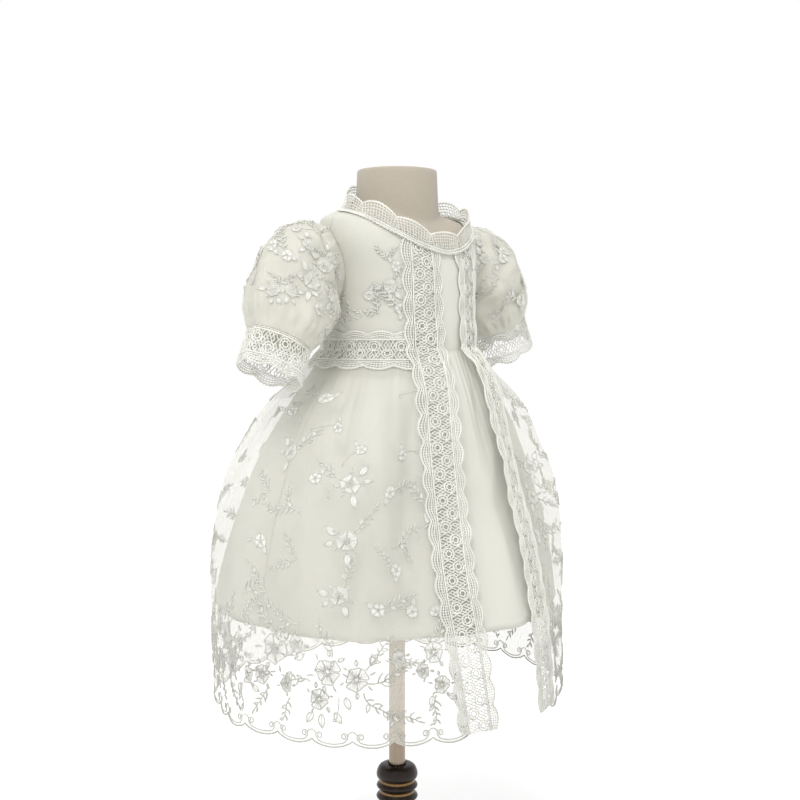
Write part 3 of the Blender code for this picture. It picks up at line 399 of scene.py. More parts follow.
def overskirt_point(turn, level):
    turn, level = paired(turn, level)
    drop = drop_at(OVERSKIRT_RINGS, level)
    out = fold_depth(SKIRT_FOLDS, turn, np.minimum(drop, 1.0)) + gather_depth(turn, drop)
    out += fold_depth(OVERSKIRT_FOLDS, turn, -level) + crease_depth(turn, drop)
    return ring_point(OVERSKIRT_RINGS, turn, level, out)


def normals(surface, turn, level):
    along = surface(turn + 0.5, level) - surface(turn - 0.5, level)
    up = surface(turn, level + 0.005) - surface(turn, level - 0.005)
    normal = np.cross(along, up)
    return normal / np.maximum(np.linalg.norm(normal, axis=-1, keepdims=True), 1e-9)


def raised(surface, turn, level, out):
    """The surface's points, moved out along its normals."""
    turn, level = paired(turn, level)
    return surface(turn, level) + normals(surface, turn, level) * np.asarray(out)[..., None]


def net_point(turn, level):
    """The overskirt's net, in the middle of its wall."""
    return raised(overskirt_point, turn, level, 0.5 * CLOTH)


def garment_point(turn, level):
    """The outer face of the garment: the overskirt below the waist, and the bodice above it."""
    turn, level = paired(turn, level)
    above = ease((level + 0.015) / 0.06)[..., None]
    low = raised(overskirt_point, turn, np.minimum(level, -0.001), CLOTH)
    high = raised(form_point, turn, np.maximum(level, 0.0), BODICE_FACE)
    return low * (1 - above) + high * above


def degrees_per_mm(surface, turn, level):
    return np.degrees(1 / np.linalg.norm(surface(turn, level)[..., :2], axis=-1))


def turn_of(points):
    return np.degrees(np.arctan2(points[:, 0], -points[:, 1]))


def trim_turn(side, level):
    return SIDES[side] * column(TRIM_PATH, side, level)


def level_of_height(z):
    """The overskirt's level at a height."""
    levels = np.linspace(-1, 0, 400)
    return np.interp(z, column(OVERSKIRT_RINGS, "z", levels), levels)


def levels_below_neckline(turns, distances):
    """Levels that lie those distances below the neckline, measured down the bodice at each turn.

    The neckline dips below the top of the form's body in front and at the shoulders.
    """
    steps = np.linspace(1.0, 0.6, 160)
    lines = raised(form_point, turns[None, :], steps[:, None], BODICE_FACE)
    dips = NECKLINE_DIP * (1 - ease((away(turns, 0) - DIP_TURN) / DIP_BLEND))
    return np.stack(
        [np.interp(dip + distances, running(lines[:, k]), steps) for k, dip in enumerate(dips)], 1
    )


def sleeve_point(side, turn, along, out=0.0):
    """A point on a sleeve. turn goes round the arm from its top, forwards."""
    turn, along = paired(turn, along)
    sign = SIDES[side]
    angle, tilt = np.radians(turn), np.radians(column(SLEEVE_RINGS, "tilt", along))
    fade = ease((along - 0.1) / 0.1) * ease((1 - along) / 0.05)
    waves = WAVE_DEPTH * fade * np.cos(SLEEVE_WAVES * angle + 0.8 * sign)
    puff = SLEEVE_FOLD_DEPTH * np.sin(np.pi * along)
    waves = waves + puff * np.sin(SLEEVE_FOLDS * angle + 1.1 * sign + 4 * along)
    for dent in SLEEVE_DENTS:
        reach = away(turn, dent.turn) / dent.half_turn
        off = (along - dent.along - dent.slant * (turn - dent.turn) / 60) / dent.half_along
        waves = waves + dent.depth * np.exp(-(reach**2) - off**2)
    for end in SLEEVE_ENDS:
        wander = end.wander * np.sin(end.wander_count * angle)
        waves = waves + bell((along - end.along) / end.reach) * end.depth * np.cos(end.count * angle + wander)
    waves = waves + out
    high = (column(SLEEVE_RINGS, "half_height", along) + waves) * np.cos(angle)
    x = column(SLEEVE_RINGS, "out", along) + high * np.sin(tilt)
    deep = (column(SLEEVE_RINGS, "half_depth", along) + waves) * np.sin(angle)
    y = column(SLEEVE_RINGS, "back", along) - deep
    z = column(SLEEVE_RINGS, "z", along) + high * np.cos(tilt)
    if sign > 0:
        z = z + LEFT_SLEEVE_LIFT * ease(along / 0.5)
    return np.stack([sign * x, y, z], -1)


def in_armhole(points, margin):
    """Which points, in millimetres, lie inside an armhole that is a margin wider all round."""
    high = (points[:, 2] - ARMHOLE_Z) / (ARMHOLE_HALF_HEIGHT + margin)
    deep = (points[:, 1] - ARMHOLE_BACK) / (ARMHOLE_HALF_DEPTH + margin)
    return (np.abs(points[:, 0]) > ARMHOLE_INNER_X) & (high**2 + deep**2 < 1)


# ---------------------------------------------------------------- making meshes
def link_object(name, data):
    made = bpy.data.objects.new(name, data)
    bpy.context.scene.collection.objects.link(made)
    return made


def grid_object(name, points, finish, closed=False, uv=None, caps=False):
    """A smooth mesh from rows of points in millimetres. uv gives each point's place on the cloth, in metres."""
    rows, columns = points.shape[:2]
    r, c = np.meshgrid(np.arange(rows - 1), np.arange(columns if closed else columns - 1), indexing="ij")
    n = (c + 1) % columns
    quads = np.stack([r * columns + c, r * columns + n, (r + 1) * columns + n, (r + 1) * columns + c], -1)
    faces = quads.reshape(-1, 4).tolist()
    if caps:
        faces.append(list(range(columns))[::-1])
        faces.append(list(range((rows - 1) * columns, rows * columns)))
    mesh = bpy.data.meshes.new(name)
    mesh.from_pydata((points.reshape(-1, 3) * MM).tolist(), [], faces)
    if uv is not None:
        layer = mesh.uv_layers.new(name="cloth")
        corners = np.zeros(len(mesh.loops), np.int32)
        mesh.loops.foreach_get("vertex_index", corners)
        layer.data.foreach_set("uv", uv.reshape(-1, 2)[corners].astype(np.float32).ravel())
    mesh.materials.append(finish)
    made = link_object(name, mesh)
    mesh.shade_smooth()
    return made


def face_outwards(piece, centre_of):
    """Turns the faces away from the inside point that centre_of gives for each face's middle."""
    side = sum((f.center - centre_of(f.center)).dot(f.normal) * f.area for f in list(piece.data.polygons)[::7])
    if side < 0:
        piece.data.flip_normals()


def axis_point(point):
    return Vector((0.0, 0.0, point.z))


def finish_piece(piece, slot, *nodes):
    """Lets the piece ride on the body, and hides the solids it stands for. slot is not used."""
    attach(piece, "root")
    if nodes:
        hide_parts(*nodes)


def arc_lengths(points, axis):
    """Running lengths along one axis of a grid of points, in metres."""
    steps = np.linalg.norm(np.diff(points, axis=axis), axis=-1) * MM
    zero = np.zeros_like(np.take(steps, [0], axis=axis))
    return np.concatenate([zero, np.cumsum(steps, axis=axis)], axis=axis)


def cloth_uv(points):
    """A place on the cloth for each point: across from the middle of its row, and down from the first row."""
    across = arc_lengths(points, 1)
    return np.stack([across - across[:, -1:] / 2, -arc_lengths(points, 0)], -1)


def surface_area(piece):
    return sum(face.area for face in piece.data.polygons)


def cut_sheet(piece, points, held, *rests_on):
    """Works out a cut cloth's flat size, the widest row and the longest column of its points, and its area, and
    does nothing more with them.
    """
    wide, tall = arc_lengths(points, 1)[:, -1].max(), arc_lengths(points, 0)[-1].max()
    area = min(surface_area(piece), 0.999 * wide * tall)


def cloth_piece(name, points, replaced, centre_of=axis_point, cloth=None, armholes=False, closed=False):
    """A piece of satin or net, as its name says. Satin has a wall, unless another cloth is given for it."""
    net = "net" in name.split("_")
    made = grid_object(name, points, finish(cloth or ("net" if net else "satin")), closed, cloth_uv(points))
    if armholes:
        cut_armholes(made)
    face_outwards(made, centre_of)
    if not net and not cloth:
        wall = made.modifiers.new("wall", "SOLIDIFY")
        wall.thickness = bpy.context.scene.gown_sizes.satin_wall
        wall.offset = 0.0
        wall.use_even_offset = True
    finish_piece(made, "organza" if net else "satin", *([replaced] if replaced else []))
    return made


# ---------------------------------------------------------------- nodes
def node(tree, kind, inputs=None, **settings):
    """A node with its settings. Each input, by name or number, is linked to a socket or set to a value."""
    made = tree.nodes.new(kind)
    for key, value in settings.items():
        setattr(made, key, value)
    for key, value in (inputs or {}).items():
        if isinstance(value, bpy.types.NodeSocket):
            tree.links.new(value, made.inputs[key])
        else:
            made.inputs[key].default_value = value
    return made


def arithmetic(tree, operation, a, b=0.0):
    return node(tree, "ShaderNodeMath", {0: a, 1: b}, operation=operation).outputs["Value"]


def named_attribute(tree, name, kind):
    return node(tree, "GeometryNodeInputNamedAttribute", {"Name": name}, data_type=kind).outputs["Attribute"]


def geometry_tree(name, **kinds):
    """A new tree with geometry in and out, inputs of these kinds, and the outputs of its start."""
    tree = bpy.data.node_groups.new(name, "GeometryNodeTree")
    tree.interface.new_socket("Geometry", in_out="OUTPUT", socket_type="NodeSocketGeometry")
    for key, kind in {"Geometry": "Geometry", **kinds}.items():
        tree.interface.new_socket(key.replace("_", " "), in_out="INPUT", socket_type="NodeSocket" + kind)
    return tree, node(tree, "NodeGroupInput").outputs


def painted(tree, geometry, start):
    """Realizes the instances, sets their material and ends the tree."""
    real = node(tree, "GeometryNodeRealizeInstances", {"Geometry": geometry})
    paint = {"Geometry": real.outputs["Geometry"], "Material": start["Material"]}
    last = node(tree, "GeometryNodeSetMaterial", paint)
    node(tree, "NodeGroupOutput", {"Geometry": last.outputs["Geometry"]})
    return tree


def cord_tree():
    """Turns a mesh's edges into round, capped cords, as thick as the attribute thick says."""
    if "Round cords" in bpy.data.node_groups:
        return bpy.data.node_groups["Round cords"]
    tree, start = geometry_tree("Round cords", Facets="Int", Material="Material")
    curve = node(tree, "GeometryNodeMeshToCurve", {"Mesh": start["Geometry"]})
    circle = node(tree, "GeometryNodeCurvePrimitiveCircle", {"Radius": 1.0, "Resolution": start["Facets"]})
    tube = node(tree, "GeometryNodeCurveToMesh", {
        "Curve": curve.outputs["Curve"], "Profile Curve": circle.outputs["Curve"],
        "Scale": named_attribute(tree, "thick", "FLOAT"), "Fill Caps": True,
    })
    smooth = node(tree, "GeometryNodeSetShadeSmooth", {"Geometry": tube.outputs["Mesh"]})
    return painted(tree, smooth.outputs["Geometry"], start)


def lace_tree():
    """Repeats a flat chart of edges along a guide's surface, and makes round cords of it."""
    if "Repeated lace" in bpy.data.node_groups:
        return bpy.data.node_groups["Repeated lace"]
    tree, start = geometry_tree(
        "Repeated lace", Guide="Object", Repeats="Int", Repeat_length="Float", Guide_length="Float",
        Guide_width="Float", Guide_margin="Float", Facets="Int", Material="Material",
    )
    offset = node(tree, "ShaderNodeCombineXYZ", {"X": start["Repeat length"]}).outputs["Vector"]
    line = node(tree, "GeometryNodeMeshLine", {"Count": start["Repeats"], "Offset": offset}).outputs["Mesh"]
    charts = node(tree, "GeometryNodeInstanceOnPoints", {"Points": line, "Instance": start["Geometry"]})
    real = node(tree, "GeometryNodeRealizeInstances", {"Geometry": charts.outputs["Instances"]})
    guide = node(tree, "GeometryNodeObjectInfo", {"Object": start["Guide"]}).outputs["Geometry"]
    position = node(tree, "GeometryNodeInputPosition").outputs["Position"]
    flat = node(tree, "ShaderNodeSeparateXYZ", {"Vector": position}).outputs
    along = arithmetic(tree, "ADD", flat["X"], start["Guide margin"])
    u = arithmetic(tree, "DIVIDE", along, start["Guide length"])
    v = arithmetic(tree, "ADD", arithmetic(tree, "DIVIDE", flat["Y"], start["Guide width"]), 0.5)
    place = node(tree, "ShaderNodeCombineXYZ", {"X": u, "Y": v}).outputs["Vector"]
    cloth = named_attribute(tree, "cloth", "FLOAT_VECTOR")

    def sampled(value):
        inputs = {"Mesh": guide, "Value": value, "Source UV Map": cloth, "Sample UV": place}
        return node(tree, "GeometryNodeSampleUVSurface", inputs, data_type="FLOAT_VECTOR").outputs["Value"]

    up = sampled(named_attribute(tree, "up", "FLOAT_VECTOR"))
    lift = node(tree, "ShaderNodeVectorMath", {"Vector": up, "Scale": flat["Z"]}, operation="SCALE")
    raised_by = {0: sampled(position), 1: lift.outputs["Vector"]}
    total = node(tree, "ShaderNodeVectorMath", raised_by, operation="ADD")
    bent = {"Geometry": real.outputs["Geometry"], "Position": total.outputs["Vector"]}
    bend = node(tree, "GeometryNodeSetPosition", bent)
    round_off = {"Geometry": bend.outputs["Geometry"], "Facets": start["Facets"], "Material": start["Material"]}
    cords = node(tree, "GeometryNodeGroup", round_off, node_tree=cord_tree())
    return painted(tree, cords.outputs["Geometry"], start)


def through_nodes(name, base, tree, **values):
    """Runs an object through a node tree once, and returns the result as a plain mesh object."""
    worker = base.modifiers.new("work", "NODES")
    worker.node_group = tree
    for item in tree.interface.items_tree:
        key = item.name.replace(" ", "_").lower()
        if item.in_out == "INPUT" and key in values:
            worker[item.identifier] = values[key]
    bpy.context.view_layer.update()
    graph = bpy.context.evaluated_depsgraph_get()
    mesh = bpy.data.meshes.new_from_object(base.evaluated_get(graph))
    mesh.name = name
    made = link_object(name, mesh)
    bpy.data.objects.remove(base)
    if len(mesh.vertices) == 0:
        raise RuntimeError(f"{name} came out empty")
    return made


def edge_object(name, lines):
    """A mesh of edges from lines of (points, thickness in mm, closed). Points are in millimetres."""
    points, edges, thick, first = [], [], [], 0
    for line, width, closed in lines:
        ends = np.arange(first, first + len(line))
        points.append(line)
        edges.append(np.stack([ends[:-1], ends[1:]], 1))
        if closed:
            edges.append(np.array([[ends[-1], ends[0]]]))
        thick.append(np.broadcast_to(np.asarray(width, float), (len(line),)))
        first += len(line)
    mesh = bpy.data.meshes.new(name)
    mesh.from_pydata((np.vstack(points) * MM).tolist(), np.vstack(edges).tolist(), [])
    attribute = mesh.attributes.new("thick", "FLOAT", "POINT")
    attribute.data.foreach_set("value", (np.concatenate(thick) * MM).astype(np.float32))
    return link_object(name, mesh)


# ---------------------------------------------------------------- materials
def palette(name):
    return tuple(getattr(bpy.context.scene.gown_colours, name))


def shade(base, factor):
    return tuple(channel * factor for channel in base)


class Paint:
    """A Principled material, and the nodes that vary it. Scales are in waves or cells a metre."""

    def __init__(self, name, base, roughness, **constants):
        self.material = bpy.data.materials.new(name)
        self.material.use_nodes = True
        self.material.diffuse_color = (*base, 1.0)
        self.tree = self.material.node_tree
        self.shader = self.tree.nodes["Principled BSDF"]
        self.shader.inputs["Base Color"].default_value = (*base, 1.0)
        self.shader.inputs["Roughness"].default_value = roughness
        for key, value in constants.items():
            self.shader.inputs[key.replace("_", " ").title().replace("Ior", "IOR")].default_value = value

    def node(self, kind, inputs=None, **settings):
        return node(self.tree, kind, inputs, **settings)

    def math(self, operation, a, b=0.0):
        return arithmetic(self.tree, operation, a, b)

    def feed(self, name, value):
        self.tree.links.new(value, self.shader.inputs[name])

    def place(self, uv=None, scale=(1.0, 1.0, 1.0)):
        """A place on the cloth's own map, or on the object."""
        source = self.node("ShaderNodeUVMap", uv_map=uv) if uv else self.node("ShaderNodeTexCoord")
        where = source.outputs["UV" if uv else "Object"]
        return self.node("ShaderNodeMapping", {"Vector": where, "Scale": scale}).outputs["Vector"]

    def height(self, where):
        return self.node("ShaderNodeSeparateXYZ", {"Vector": where}).outputs["Z"]

    def noise(self, where, scale, detail=2.0, rough=0.5):
        inputs = {"Scale": scale, "Detail": detail, "Roughness": rough, "Vector": where}
        return self.node("ShaderNodeTexNoise", inputs).outputs["Fac"]

    def waves(self, where, scale, direction="X", distortion=0.0):
        inputs = {"Scale": scale, "Distortion": distortion, "Vector": where}
        return self.node("ShaderNodeTexWave", inputs, bands_direction=direction).outputs["Fac"]

    def ranged(self, value, low, high, start=0.0, end=1.0):
        """A number that goes from low to high while value goes from start to end."""
        inputs = {"Value": value, "From Min": start, "From Max": end, "To Min": low, "To Max": high}
        return self.node("ShaderNodeMapRange", inputs).outputs["Result"]

    def tint(self, factor, dark, light):
        """Colours the shader between two colours by factor. dark may be a socket."""
        made = self.node("ShaderNodeMix", {
            "A": dark if isinstance(dark, bpy.types.NodeSocket) else (*dark, 1.0), "B": (*light, 1.0),
            "Factor": factor,
        }, data_type="RGBA")
        self.feed("Base Color", made.outputs["Result"])
        return made.outputs["Result"]

    def bump(self, height, distance, strength=1.0):
        inputs = {"Distance": distance, "Strength": strength, "Height": height}
        self.feed("Normal", self.node("ShaderNodeBump", inputs).outputs["Normal"])

    def let_through(self, base, share):
        """Lets a share of the light through thin cloth."""
        through = self.node("ShaderNodeBsdfTranslucent", {"Color": (*base, 1.0)})
        both = {"Fac": share, 1: self.shader.outputs["BSDF"], 2: through.outputs["BSDF"]}
        surface = self.tree.nodes["Material Output"].inputs["Surface"]
        self.tree.links.new(self.node("ShaderNodeMixShader", both).outputs["Shader"], surface)


def satin_material(name="satin", bright=1.0, through=0.12):
    """Satin: a smooth face with fine warp threads and slow changes of sheen."""
    base = shade(palette("satin"), bright)
    paint = Paint(name, base, 0.42, sheen_weight=0.12, sheen_roughness=0.4)
    cloth = paint.place("cloth")
    paint.tint(paint.noise(cloth, 14, 3), shade(base, 0.955), shade(base, 1.03))
    warp = paint.waves(paint.place("cloth", (1.0, 0.02, 1.0)), 900, "X", 0.6)
    weft = paint.noise(paint.place("cloth", (1.0, 6.0, 1.0)), 420, 2)
    paint.bump(paint.math("ADD", paint.math("MULTIPLY", warp, 0.6), weft), 0.00006, 0.6)
    paint.feed("Roughness", paint.ranged(paint.noise(cloth, 60, 2), 0.36, 0.50))
    paint.let_through(base, through)
    return paint


def net_material():
    """Sheer net: six-sided meshes of fine thread that stop only a share of the light."""
    base, opacity = palette("net"), bpy.context.scene.gown_sizes.net_opacity
    paint = Paint("net", base, 0.65)
    cells = paint.node(
        "ShaderNodeTexVoronoi", {"Scale": 820, "Randomness": 0.35, "Vector": paint.place("cloth")},
        feature="DISTANCE_TO_EDGE", voronoi_dimensions="2D",
    )
    thread, gap = min(1.0, opacity * 1.7), opacity * 0.55
    paint.feed("Alpha", paint.ranged(cells.outputs["Distance"], thread, gap, 0.10, 0.20))
    paint.tint(paint.noise(paint.place("cloth"), 25), shade(base, 0.96), shade(base, 1.03))
    return paint


def thread_material(name, base, scale, unlined_shade):
    """Twisted thread, a little silky, with a painted shade where its twists sink in and a painted shade where
    it hangs below the lining, with no lining behind it to give light back.
    """
    paint = Paint(name, base, 0.6, sheen_weight=0.2, sheen_roughness=0.5)
    where = paint.place()
    # painted shade: a mottle that darkens the thread where its twists sink in
    twist_shade = paint.math("MULTIPLY", paint.noise(where, 90, 3), paint.noise(where, 0.45 * scale, 2, 0.6))
    twist_shade = paint.math("MINIMUM", paint.math("MULTIPLY", twist_shade, 2.2), 1.0)
    # painted shade: thread lower than 0.285 to 0.325 m is darkened by the given factor, as no lining behind it
    # gives light back
    lining_light = paint.ranged(paint.height(where), unlined_shade, 1.0, 0.285, 0.325)
    share = paint.math("MULTIPLY", paint.ranged(twist_shade, 0.70, 1.0), lining_light)
    paint.tint(share, shade(base, 0.0), shade(base, 1.10))
    paint.bump(paint.noise(where, scale, 2, 0.6), 0.00012, 0.7)
    paint.feed("Roughness", paint.ranged(paint.noise(where, 300), 0.52, 0.72))
    return paint


def filling_material():
    """Satin stitch: close parallel threads across each petal."""
    base = palette("filling")
    paint = Paint("satin_stitch", base, 0.5, sheen_weight=0.2, sheen_roughness=0.5)
    stitch = paint.waves(paint.place("cloth"), 560, "X", 1.2)
    paint.tint(stitch, shade(base, 0.94), shade(base, 1.05))
    paint.bump(stitch, 0.00004, 0.6)
    paint.feed("Alpha", paint.ranged(stitch, 0.45, 0.95))
    return paint


def linen_material():
    """Plain-woven linen with slubs."""
    base = palette("linen")
    paint = Paint("linen", base, 0.88, sheen_weight=0.15, sheen_roughness=0.6)
    warp, weft = (paint.waves(paint.place("cloth"), 520, direction, 0.5) for direction in "XY")
    weave = paint.math("MULTIPLY", paint.math("MULTIPLY", warp, weft), 0.5)
    slub = paint.math("MULTIPLY", paint.noise(paint.place("cloth", (0.25, 3.0, 1.0)), 260, 3), 0.5)
    both = paint.math("ADD", weave, slub)
    paint.tint(both, shade(base, 0.82), shade(base, 1.14))
    paint.bump(both, 0.00018, 0.8)
    return paint


def metal_material():
    """Drawn steel tube: fine marks along it."""
    base = palette("metal")
    paint = Paint("pole_steel", base, 0.25, metallic=1.0)
    streak = paint.noise(paint.place(None, (1.0, 1.0, 0.01)), 420, 3, 0.6)
    paint.tint(streak, shade(base, 0.75), shade(base, 1.2))
    paint.feed("Roughness", paint.ranged(streak, 0.16, 0.38))
    paint.bump(streak, 0.00003, 0.5)
    return paint


def wood_material():
    """Dark turned wood under varnish, with gilt lines in its grooves."""
    base = palette("wood")
    paint = Paint("dark_wood", base, 0.32, specular_ior_level=0.25, coat_weight=0.1, coat_roughness=0.2)
    grain = paint.noise(paint.place(None, (1.0, 1.0, 0.12)), 160, 5, 0.65)
    body = paint.tint(grain, shade(base, 0.55), shade(base, 1.7))
    height, line = paint.height(paint.place()), 0.0
    for groove in GROOVE_HEIGHTS:
        off = paint.math("ABSOLUTE", paint.math("SUBTRACT", height, groove * MM))
        line = paint.math("MAXIMUM", paint.math("LESS_THAN", off, GROOVE_HALF * MM), line)
    worn = paint.math("MULTIPLY", line, paint.ranged(paint.noise(paint.place(), 380), 0.45, 1.0))
    paint.tint(worn, body, palette("groove"))
    paint.feed("Roughness", paint.ranged(grain, 0.25, 0.42))
    paint.bump(grain, 0.00008, 0.4)
    return paint


def pearl_material():
    """Pearl with a faint swirl."""
    base = palette("pearl")
    paint = Paint("pearl", base, 0.2, coat_weight=0.6, coat_roughness=0.08)
    swirl = paint.noise(paint.place(), 260, 3)
    paint.tint(swirl, shade(base, 0.88), (base[0], base[1] * 1.02, base[2] * 1.08))
    paint.feed("Roughness", paint.ranged(swirl, 0.14, 0.28))
    return paint


def floor_material():
    """The studio's pale floor."""
    paint = Paint("studio_floor", (0.93, 0.93, 0.93), 0.9)
    paint.tint(paint.noise(paint.place(), 3), (0.92, 0.92, 0.92), (0.95, 0.95, 0.95))
    return paint


MATERIAL_MAKERS = {
    "satin": satin_material,
    "net": net_material,
    # painted light: the sleeves' thin satin is painted 1.17 times lighter than the satin, to make up for the
    # light its larger translucent share takes from its outside
    "thin_satin": lambda: satin_material("thin_satin", 1.17, 0.40),
    # The last number says how dark the painted shade makes the thread where it hangs below the lining.
    "lace": lambda: thread_material("guipure", palette("lace"), 1500, 0.86),
    "stitch": lambda: thread_material("outline_thread", palette("stitch"), 1900, 0.78),
    "filling": filling_material,
    "linen": linen_material,
    "metal": metal_material,
    "wood": wood_material,
    "pearl": pearl_material,
    "floor": floor_material,
}
made_materials = {}


def finish(name):
    """The named material, made once."""
    if name not in made_materials:
        made_materials[name] = MATERIAL_MAKERS[name]().material
    return made_materials[name]


# ---------------------------------------------------------------- guipure charts
# A chart is a list of cords, each with its points and its thickness in millimetres, and whether it is closed.
WHEEL_OFF, HUB, RIM, WHEEL_HOLE = 4.0, 2.6, 5.0, 5.3  # a wheel's place off the band's middle, and its radii
MESH_PITCH = 3.4
GUIDE_MARGIN = 2.0


def middles(repeat, number):
    """The middles of a repeat's equal parts."""
    return repeat * (np.arange(number) + 0.5) / number


def circle(x, y, radius, number, thick):
    angle = np.linspace(0, 2 * np.pi, number, endpoint=False)
    return np.stack([x + radius * np.cos(angle), y + radius * np.sin(angle), np.zeros(number)], 1), thick, True


def loop(x, y, half_width, rise, thick):
    """A small loop that stands on an edge."""
    angle = np.linspace(-0.2, np.pi + 0.2, 5)
    return np.stack([x + half_width * np.cos(angle), y + rise * np.sin(angle), np.zeros(5)], 1), thick, False


def straight(x1, y1, x2, y2, thick, number=2, z=0.0):
    t = np.linspace(0, 1, number)[:, None]
    a, b = np.array([x1, y1, z], float), np.array([x2, y2, z], float)
    return a + (b - a) * t, thick, False


def cord_along(repeat, y, thick, z=0.0):
    return straight(0, y, repeat, y, thick, 7, z)


def wheel(x, y):
    """Two rings with eight spokes between them."""
    lines = [circle(x, y, HUB, 12, 0.72), circle(x, y, RIM, 18, 0.68)]
    for k in range(8):
        c, s = math.cos(math.radians(45 * k + 20)), math.sin(math.radians(45 * k + 20))
        lines.append(straight(x + HUB * c, y + HUB * s, x + RIM * c, y + RIM * s, 0.42))
    return lines


def lattice(repeat, half, holes):
    """Six-sided meshes that fill a band, left open round the holes."""
    columns = max(2, 2 * round(repeat / MESH_PITCH / 2))
    dx = repeat / columns
    rows = max(2, round(2 * half / (dx * 0.87)))
    dy = 2 * half / rows
    lines = []
    for r in range(rows + 1):
        for c in range(columns + 1):
            x, y = (c + (0.5 if r % 2 else 0.0)) * dx, -half + r * dy
            ends = [(x + dx / 2, y + dy), (x - dx / 2, y + dy)] if r < rows else [(x + dx / 2, y)]
            for k, (x2, y2) in enumerate(ends):
                outside = y2 > half + 0.01 or x > repeat + 0.01 or x2 < -0.01 or x2 > repeat + dx
                in_hole = any(math.hypot((x + x2) / 2 - hx, (y + y2) / 2 - hy) < WHEEL_HOLE for hx, hy in holes)
                if not outside and not in_hole and (r + c + k) % 5 != 4:
                    lines.append(straight(x, y, x2, y2, 0.50))
    return lines


def scalloped_border(repeat, start, width, sign):
    """Arched rows of cord, with bars between them and small loops along the outer one."""

    def edge(x):
        return width - SCALLOP_DEPTH * (1 - np.abs(np.sin(np.pi * x / repeat)))

    x, lines = np.linspace(0, repeat, 13), []
    for share, thick in ((0.97, 0.75), (0.66, 0.58), (0.36, 0.58)):
        y = start + edge(x) * share - (1 - share) * 1.6 * (1 - np.sin(np.pi * x / repeat))
        lines.append((np.stack([x, sign * y, np.full(13, 0.1)], 1), thick, False))
    for at in middles(repeat, 10):
        foot = at - 2.4 * (at - repeat / 2) / repeat
        lines.append(straight(foot, sign * start, at, sign * (start + 0.97 * edge(at)), 0.42))
    for at in middles(repeat, 9):
        lines.append(loop(at, sign * (start + 0.97 * edge(at)), 1.15, sign * 1.25, 0.44))
    return lines


def trim_chart(repeat, low_border=BORDER, high_border=BORDER):
    """One repeat of the guipure trim: x along it and y across from its middle."""
    places = ((repeat / 4, -WHEEL_OFF), (3 * repeat / 4, WHEEL_OFF))
    lines = wheel(*places[0]) + wheel(*places[1]) + lattice(repeat, BAND_HALF, places)
    for sign, border in ((-1, low_border), (1, high_border)):
        edge = sign * (BAND_HALF + border)
        lines.append(cord_along(repeat, sign * BAND_HALF, 0.78, 0.15))
        if border > 4:
            lines.append(cord_along(repeat, sign * (BAND_HALF + 1.7), 0.5))
            lines += scalloped_border(repeat, BAND_HALF + 1.4, border - 1.4, sign)
        else:
            lines.append(cord_along(repeat, edge, 0.5))
            lines += [straight(x, sign * BAND_HALF, x, edge, 0.4) for x in middles(repeat, 8)]
    return lines


def collar_chart(repeat):
    """One shallow scallop of the collar: rows that follow its edge, over a narrow band with a looped foot."""
    base, low, top = 4.6 - COLLAR_WIDTH, 2.2 - COLLAR_WIDTH, COLLAR_STANDS - 0.2
    x, lines = np.linspace(0, repeat, 13), []
    arch = np.sin(np.pi * x / repeat)
    edge = top - 5.0 * (1 - np.abs(arch) ** 0.8)
    for k, share in enumerate((1.0, 0.84, 0.68, 0.52, 0.36, 0.18)):
        y = base + (edge - base) * share + 0.6 * (1 - share) * arch
        lines.append((np.stack([x, y, np.full(13, 0.1)], 1), 0.56 if k else 0.80, False))
    for k, at in enumerate(middles(repeat, 12)):
        high = np.interp(at, x, edge)
        lean = 0.35 * (at - repeat / 2) * (1 if k % 2 else 0.6)
        lines.append(straight(at - lean * 0.4, base, at + lean * 0.2, high, 0.36))
        if k % 2:
            lines.append(straight(at, base, at + repeat / 12, base + (high - base) * 0.5, 0.30))
    lines += [cord_along(repeat, base, 0.72, 0.1), cord_along(repeat, low, 0.62, 0.1)]
    for at in middles(repeat, 11):
        lines += [loop(at, low - 0.2, 1.25, -1.15, 0.46), loop(at, np.interp(at, x, edge), 0.9, 1.15, 0.46)]
        lines += [straight(at, base, at + lean, low, 0.40) for lean in (-repeat / 22, repeat / 22)]
    return lines


def lace_piece(name, place, run, repeats, chart, half=TRIM_GUIDE_HALF):
    """A length of lace: its chart repeated along a guide, whose points and normals place gives."""
    long, wide = run + 2 * GUIDE_MARGIN, 2 * (half + GUIDE_MARGIN)
    x, y = np.meshgrid(
        np.linspace(-GUIDE_MARGIN, run + GUIDE_MARGIN, max(8, round(long / 2.0))),
        np.linspace(-wide / 2, wide / 2, max(6, round(wide / 2.5))),
    )
    points, ups = place(x, y)
    uv = np.stack([(x + GUIDE_MARGIN) / long, y / wide + 0.5], -1)
    guide = grid_object(name + "_guide", points, finish("lace"), uv=uv)
    attribute = guide.data.attributes.new("up", "FLOAT_VECTOR", "POINT")
    attribute.data.foreach_set("vector", ups.reshape(-1).astype(np.float32))
    made = through_nodes(
        name, edge_object(name + "_chart", chart), lace_tree(), guide=guide, repeats=repeats,
        repeat_length=run / repeats * MM, guide_length=long * MM, guide_width=wide * MM,
        guide_margin=GUIDE_MARGIN * MM, facets=bpy.context.scene.gown_sizes.cord_facets,
        material=finish("lace"),
    )
    bpy.data.objects.remove(guide)
    return made


def finish_lace(piece, flat, held, rests_on, *nodes):
    """Lets the lace ride and hides the solids it stands for, and works out the area of its cut, that of one
    face of its cords, which is not used further.
    """
    finish_piece(piece, "guipure", *nodes)
    area = min(surface_area(piece) / 2, 0.999 * flat[0] * flat[1])
    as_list(rests_on)


# ---------------------------------------------------------------- embroidery motifs
Motif = namedtuple("Motif", "threads fills")  # flat, in millimetres


def joined(*motifs):
    return Motif([t for m in motifs for t in m.threads], [f for m in motifs for f in m.fills])


